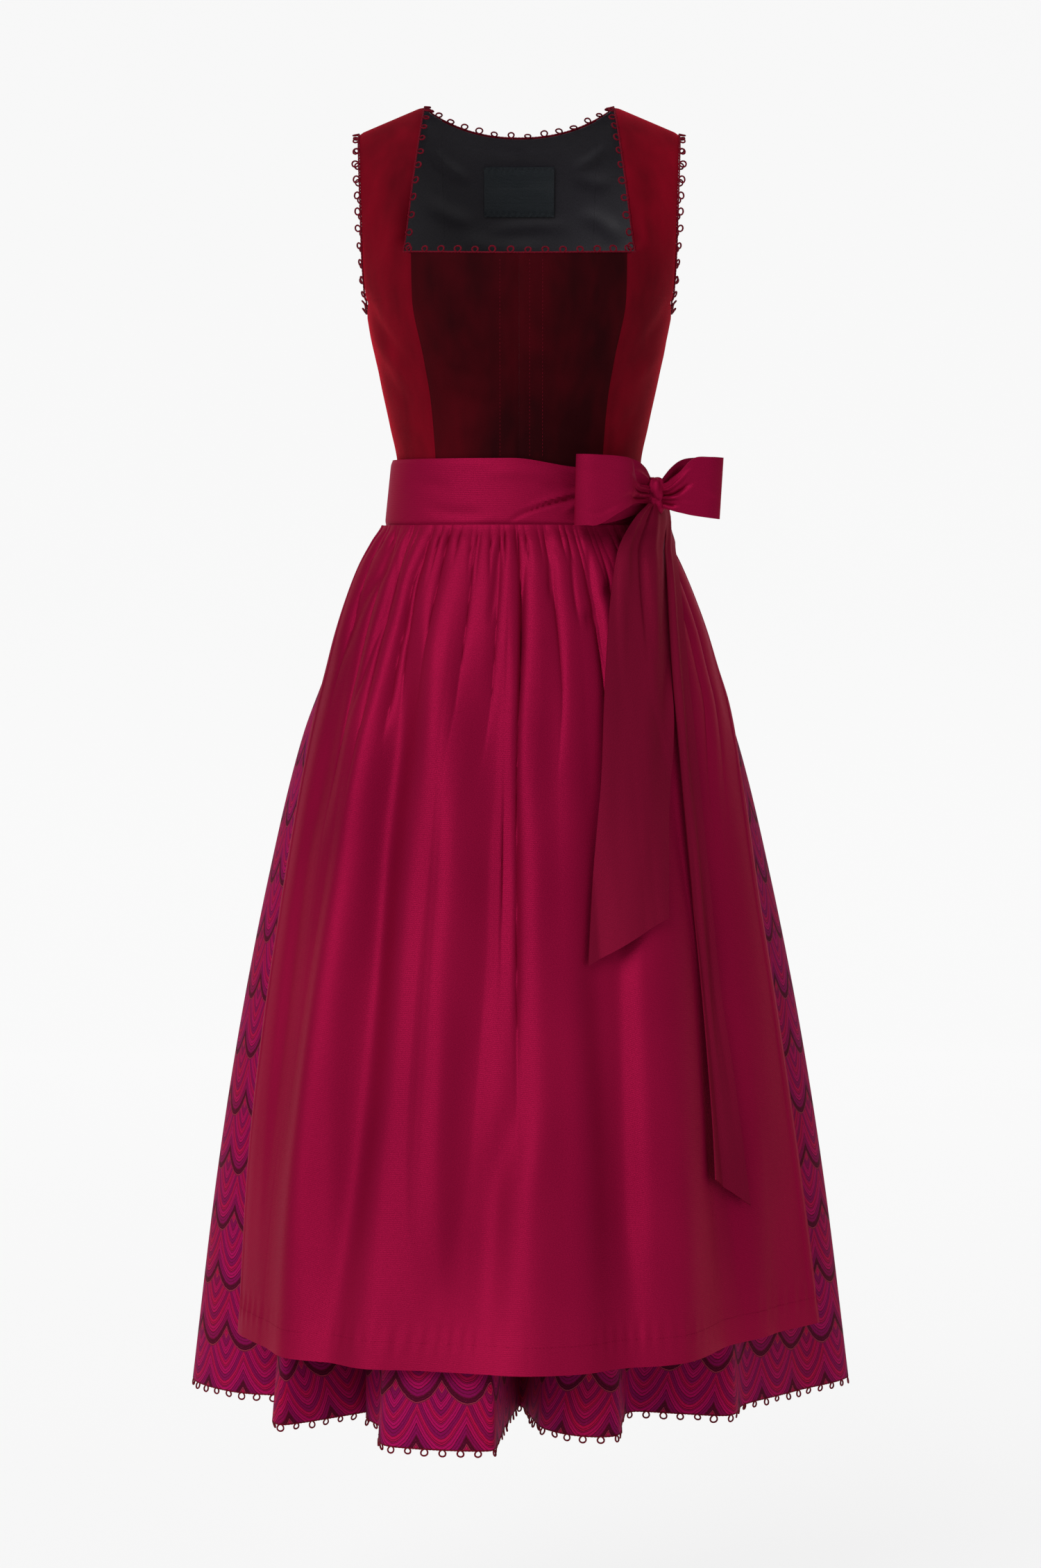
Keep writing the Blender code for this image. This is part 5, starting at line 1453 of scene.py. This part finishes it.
def addPicots(name, node, line, outward, facing):
    random = np.random.default_rng(picot["seed"])
    line, outLine, faceLine = (np.vstack([a, a[:1]]) for a in (line, outward, facing))
    far = along(line)
    count = round(far[-1] / picot["pitch"])
    pitch = far[-1] / count
    steps, baseSteps = picot["loopSteps"], picot["baseSteps"]
    phi, rest = np.linspace(0, 2 * math.pi, steps), np.linspace(0.09, 0.91, baseSteps)
    points, faces = [], []
    for k in range(count):
        size = random.uniform(0.88, 1.08)
        tip = random.uniform(-0.35, 0.35)
        start = (k + 0.5) * pitch
        aside = picot["halfWidth"] * size * np.sin(phi) * np.sin(phi / 2) ** 0.35
        height = picot["height"] * size * (1 - np.cos(phi)) / 2
        lean = random.uniform(-0.12, 0.12) * height
        rise = np.concatenate([height, 0.00035 * np.abs(np.sin(rest * math.pi * 5))])
        turn = np.concatenate([height * tip + 0.0005 * np.cos(phi / 2), np.zeros(baseSteps)])
        at = np.concatenate([start + aside + lean, start + pitch * rest])
        where = np.concatenate([np.full(steps, start), start + pitch * rest])
        spot, ahead = (readLine(line, far, (where + step) % far[-1]) for step in (0, 0.002))
        out, face = (unit(readLine(a, far, where % far[-1])) for a in (outLine, faceLine))
        run = unit(np.cross(face, out))
        if (run * (ahead - spot)).sum() < 0:
            run = -run
        lift = out * (picot["standoff"] + rise)[:, None] + face * turn[:, None]
        points.append(spot + run * (at - where)[:, None] + lift)
        faces.append(face)
    path = np.concatenate(points)
    edge, length = (round(float(a[-1]), 3) for a in (far, along(path)))
    print(name, "edge", edge, "loops", count, "thread", length)
    addPiece(name, tubes(name, [(path, np.concatenate(faces), True)], picot["thread"], 6), thread, node)


def stepOn(side, angle, rise, turn=0.0, lift=0.0):
    return skin(side, angle + turn, rise + lift) - skin(side, angle, rise)


def edgePart(side, angle, rise, outward):  # the middle of an edge, with the ways out of edge and face
    facing = skinOut(side, angle, rise)
    return skin(side, angle, rise) + facing * bodice["cloth"] / 2, unit(outward), facing


def joined(parts):
    return [np.concatenate(rows) for rows in zip(*parts)]


def neckEdge():
    x = np.linspace(0, dress["neckHalfFront"] - 0.001, 40)
    rise = riseAt(frontNeckZ(x), x, front)
    angle = angleAt(x, rise)
    parts = [edgePart(front, angle, rise, stepOn(front, angle, rise, lift=0.02))]
    liftFrom = float(riseAt(dress["neckline"], dress["neckHalfFront"], front))
    x, rise = np.array(frontNeckRows(liftFrom, 60)).T
    angle = angleAt(x, rise)
    strap, outward, facing = edgePart(front, angle, rise, stepOn(front, angle, rise, turn=-0.03))
    parts.append((rollIn(strap[:, None], np.zeros((len(x), 1)))[:, 0], outward, facing))
    x = np.linspace(dress["neckHalfTop"] - 0.001, 0, 40)
    rise = riseAt(backNeckZ(x), x, back)
    angle = angleAt(x, rise)
    inward = stepOn(back, angle, rise, turn=-0.03) * (x / dress["neckHalfTop"])[:, None] ** 2
    parts.append(edgePart(back, angle, rise, stepOn(back, angle, rise, lift=0.02) + inward))
    return [np.concatenate([half, mirrored(half)[::-1][1:-1]]) for half in joined(parts)]


def armholeLine():
    parts, start = [], dress["armholeAngle"]
    for side, turn in ((front, 1), (back, -1)):
        lift = np.linspace(0.0, 0.985, 60)[::turn]
        z = dress["underarm"] + (ridge(0.12) - dress["underarm"]) * climb(side, lift)
        angle = start + (angleAt(seamAt(armholeEdge, z), lift) - start) * smooth(lift / 0.08)
        outward = unit(stepOn(side, angle, lift, turn=0.03)) + skinOut(side, angle, lift) * 0.5
        parts.append(edgePart(side, angle, lift, outward))
    for side, turn in ((back, 1), (front, -1)):
        past = np.linspace(0.12, 1, 16)[::turn]
        past = past[1:] if side == front else past
        angle = start + (math.pi / 2 - start) * past
        rise = -dress["armholeDip"] * np.sin(past * math.pi / 2)
        outward = np.array([0.0, 0.0, 1.0]) + skinOut(side, angle, rise) * 0.5
        parts.append(edgePart(side, angle, rise, outward))
    return joined(parts)


def hemEdge():
    down = np.tile(np.array([0.0, 0.0, -1.0]), (len(hemLine), 1))
    run = np.roll(hemLine, -1, axis=0) - np.roll(hemLine, 1, axis=0)
    return hemLine, down, unit(np.cross(run, down))


armhole = armholeLine()
edges = {
    "neckline": neckEdge(),
    "armhole_left": armhole,
    "armhole_right": [mirrored(a) for a in armhole],
    "hem": hemEdge(),
}
for name, edge in edges.items():
    addPicots("picots_" + name, "picot_" + name, *edge)
print("Picots made")


# Floor, light and camera

studio = {
    "floorBelowHem": 0.30,
    "backdropY": 5.6,
    "bendRadius": 1.0,  # of the paper, from floor to backdrop
    "paper": srgb(97, 97, 97),
    "paperLight": srgb(99, 99, 99),
    "paperGlow": 0.81,  # evens out the paper's bend, as a lit studio sweep does
    "worldLight": 0.45,
    "keyStrength": 1.9,
    "keyFrom": (-0.55, -0.80, 0.76),
    "keySoftness": math.radians(40),
    "fillPower": 5,
    "fillPlace": (2.4, -2.2, 0.3),
    "fillSize": 2.4,
}
camera = {"place": (0.0013, -3.6, -0.422), "tiltDown": math.radians(3.47), "lens": 86.6, "sensor": 36.0}


def addLamp(name, kind, spot, target=(0, 0, -0.6), **settings):
    lamp = bpy.data.lights.new(name, kind)
    for setting, value in settings.items():
        setattr(lamp, setting, value)
    aim = np.array(target) - np.array(spot)
    turn = (math.atan2(math.hypot(aim[0], aim[1]), -aim[2]), 0, math.atan2(aim[0], -aim[1]) + math.pi)
    addObject(name, lamp, location=spot, rotation_euler=turn)


def addStudio():
    floorZ = dress["hem"] - studio["floorBelowHem"]
    backdropY, radius = studio["backdropY"], studio["bendRadius"]
    bend = np.linspace(0, math.pi / 2, 24)
    profile = [(-5.0, floorZ)]
    profile += [(backdropY - radius * (1 - math.sin(a)), floorZ + radius * (1 - math.cos(a))) for a in bend]
    profile.append((backdropY, floorZ + 6.0))
    points = np.array([[(x, y, z) for x in np.linspace(-6, 6, 3)] for y, z in profile])
    mesh = fillMesh("paper_sweep", points.reshape(-1, 3), quadsOf(*points.shape[:2], ring=False)[:, ::-1])
    sockets = {"Roughness": 0.9, "Specular IOR Level": 0.1, "Emission Color": (1, 1, 1, 1)}
    material, tree = finish("paper", {**sockets, "Emission Strength": studio["paperGlow"]})
    soft = noise(tree, "Object", (2, 2, 2), 1.0)
    mesh.materials.append(coat(material, ramp(soft, (0.0, studio["paper"]), (1.0, studio["paperLight"]))))
    addObject("paper_sweep", mesh)
    world = bpy.data.worlds.new("studio")
    world.use_nodes = True
    light = world.node_tree.nodes["Background"].inputs
    light["Color"].default_value, light["Strength"].default_value = (1, 1, 1, 1), studio["worldLight"]
    bpy.context.scene.world = world
    strength, softness = studio["keyStrength"], studio["keySoftness"]
    addLamp("key", "SUN", studio["keyFrom"], (0, 0, 0), energy=strength, angle=softness)
    size, strength = studio["fillSize"], studio["fillPower"]
    addLamp("fill", "AREA", studio["fillPlace"], shape="SQUARE", size=size, energy=strength)


def addCamera():
    data = bpy.data.cameras.new("camera")
    data.lens, data.sensor_width = camera["lens"], camera["sensor"]
    turn = (math.pi / 2 - camera["tiltDown"], 0, 0)
    bpy.context.scene.camera = addObject("camera", data, location=camera["place"], rotation_euler=turn)


addStudio()
addCamera()
bpy.context.scene.view_settings.view_transform = "Standard"
print("Studio ready")
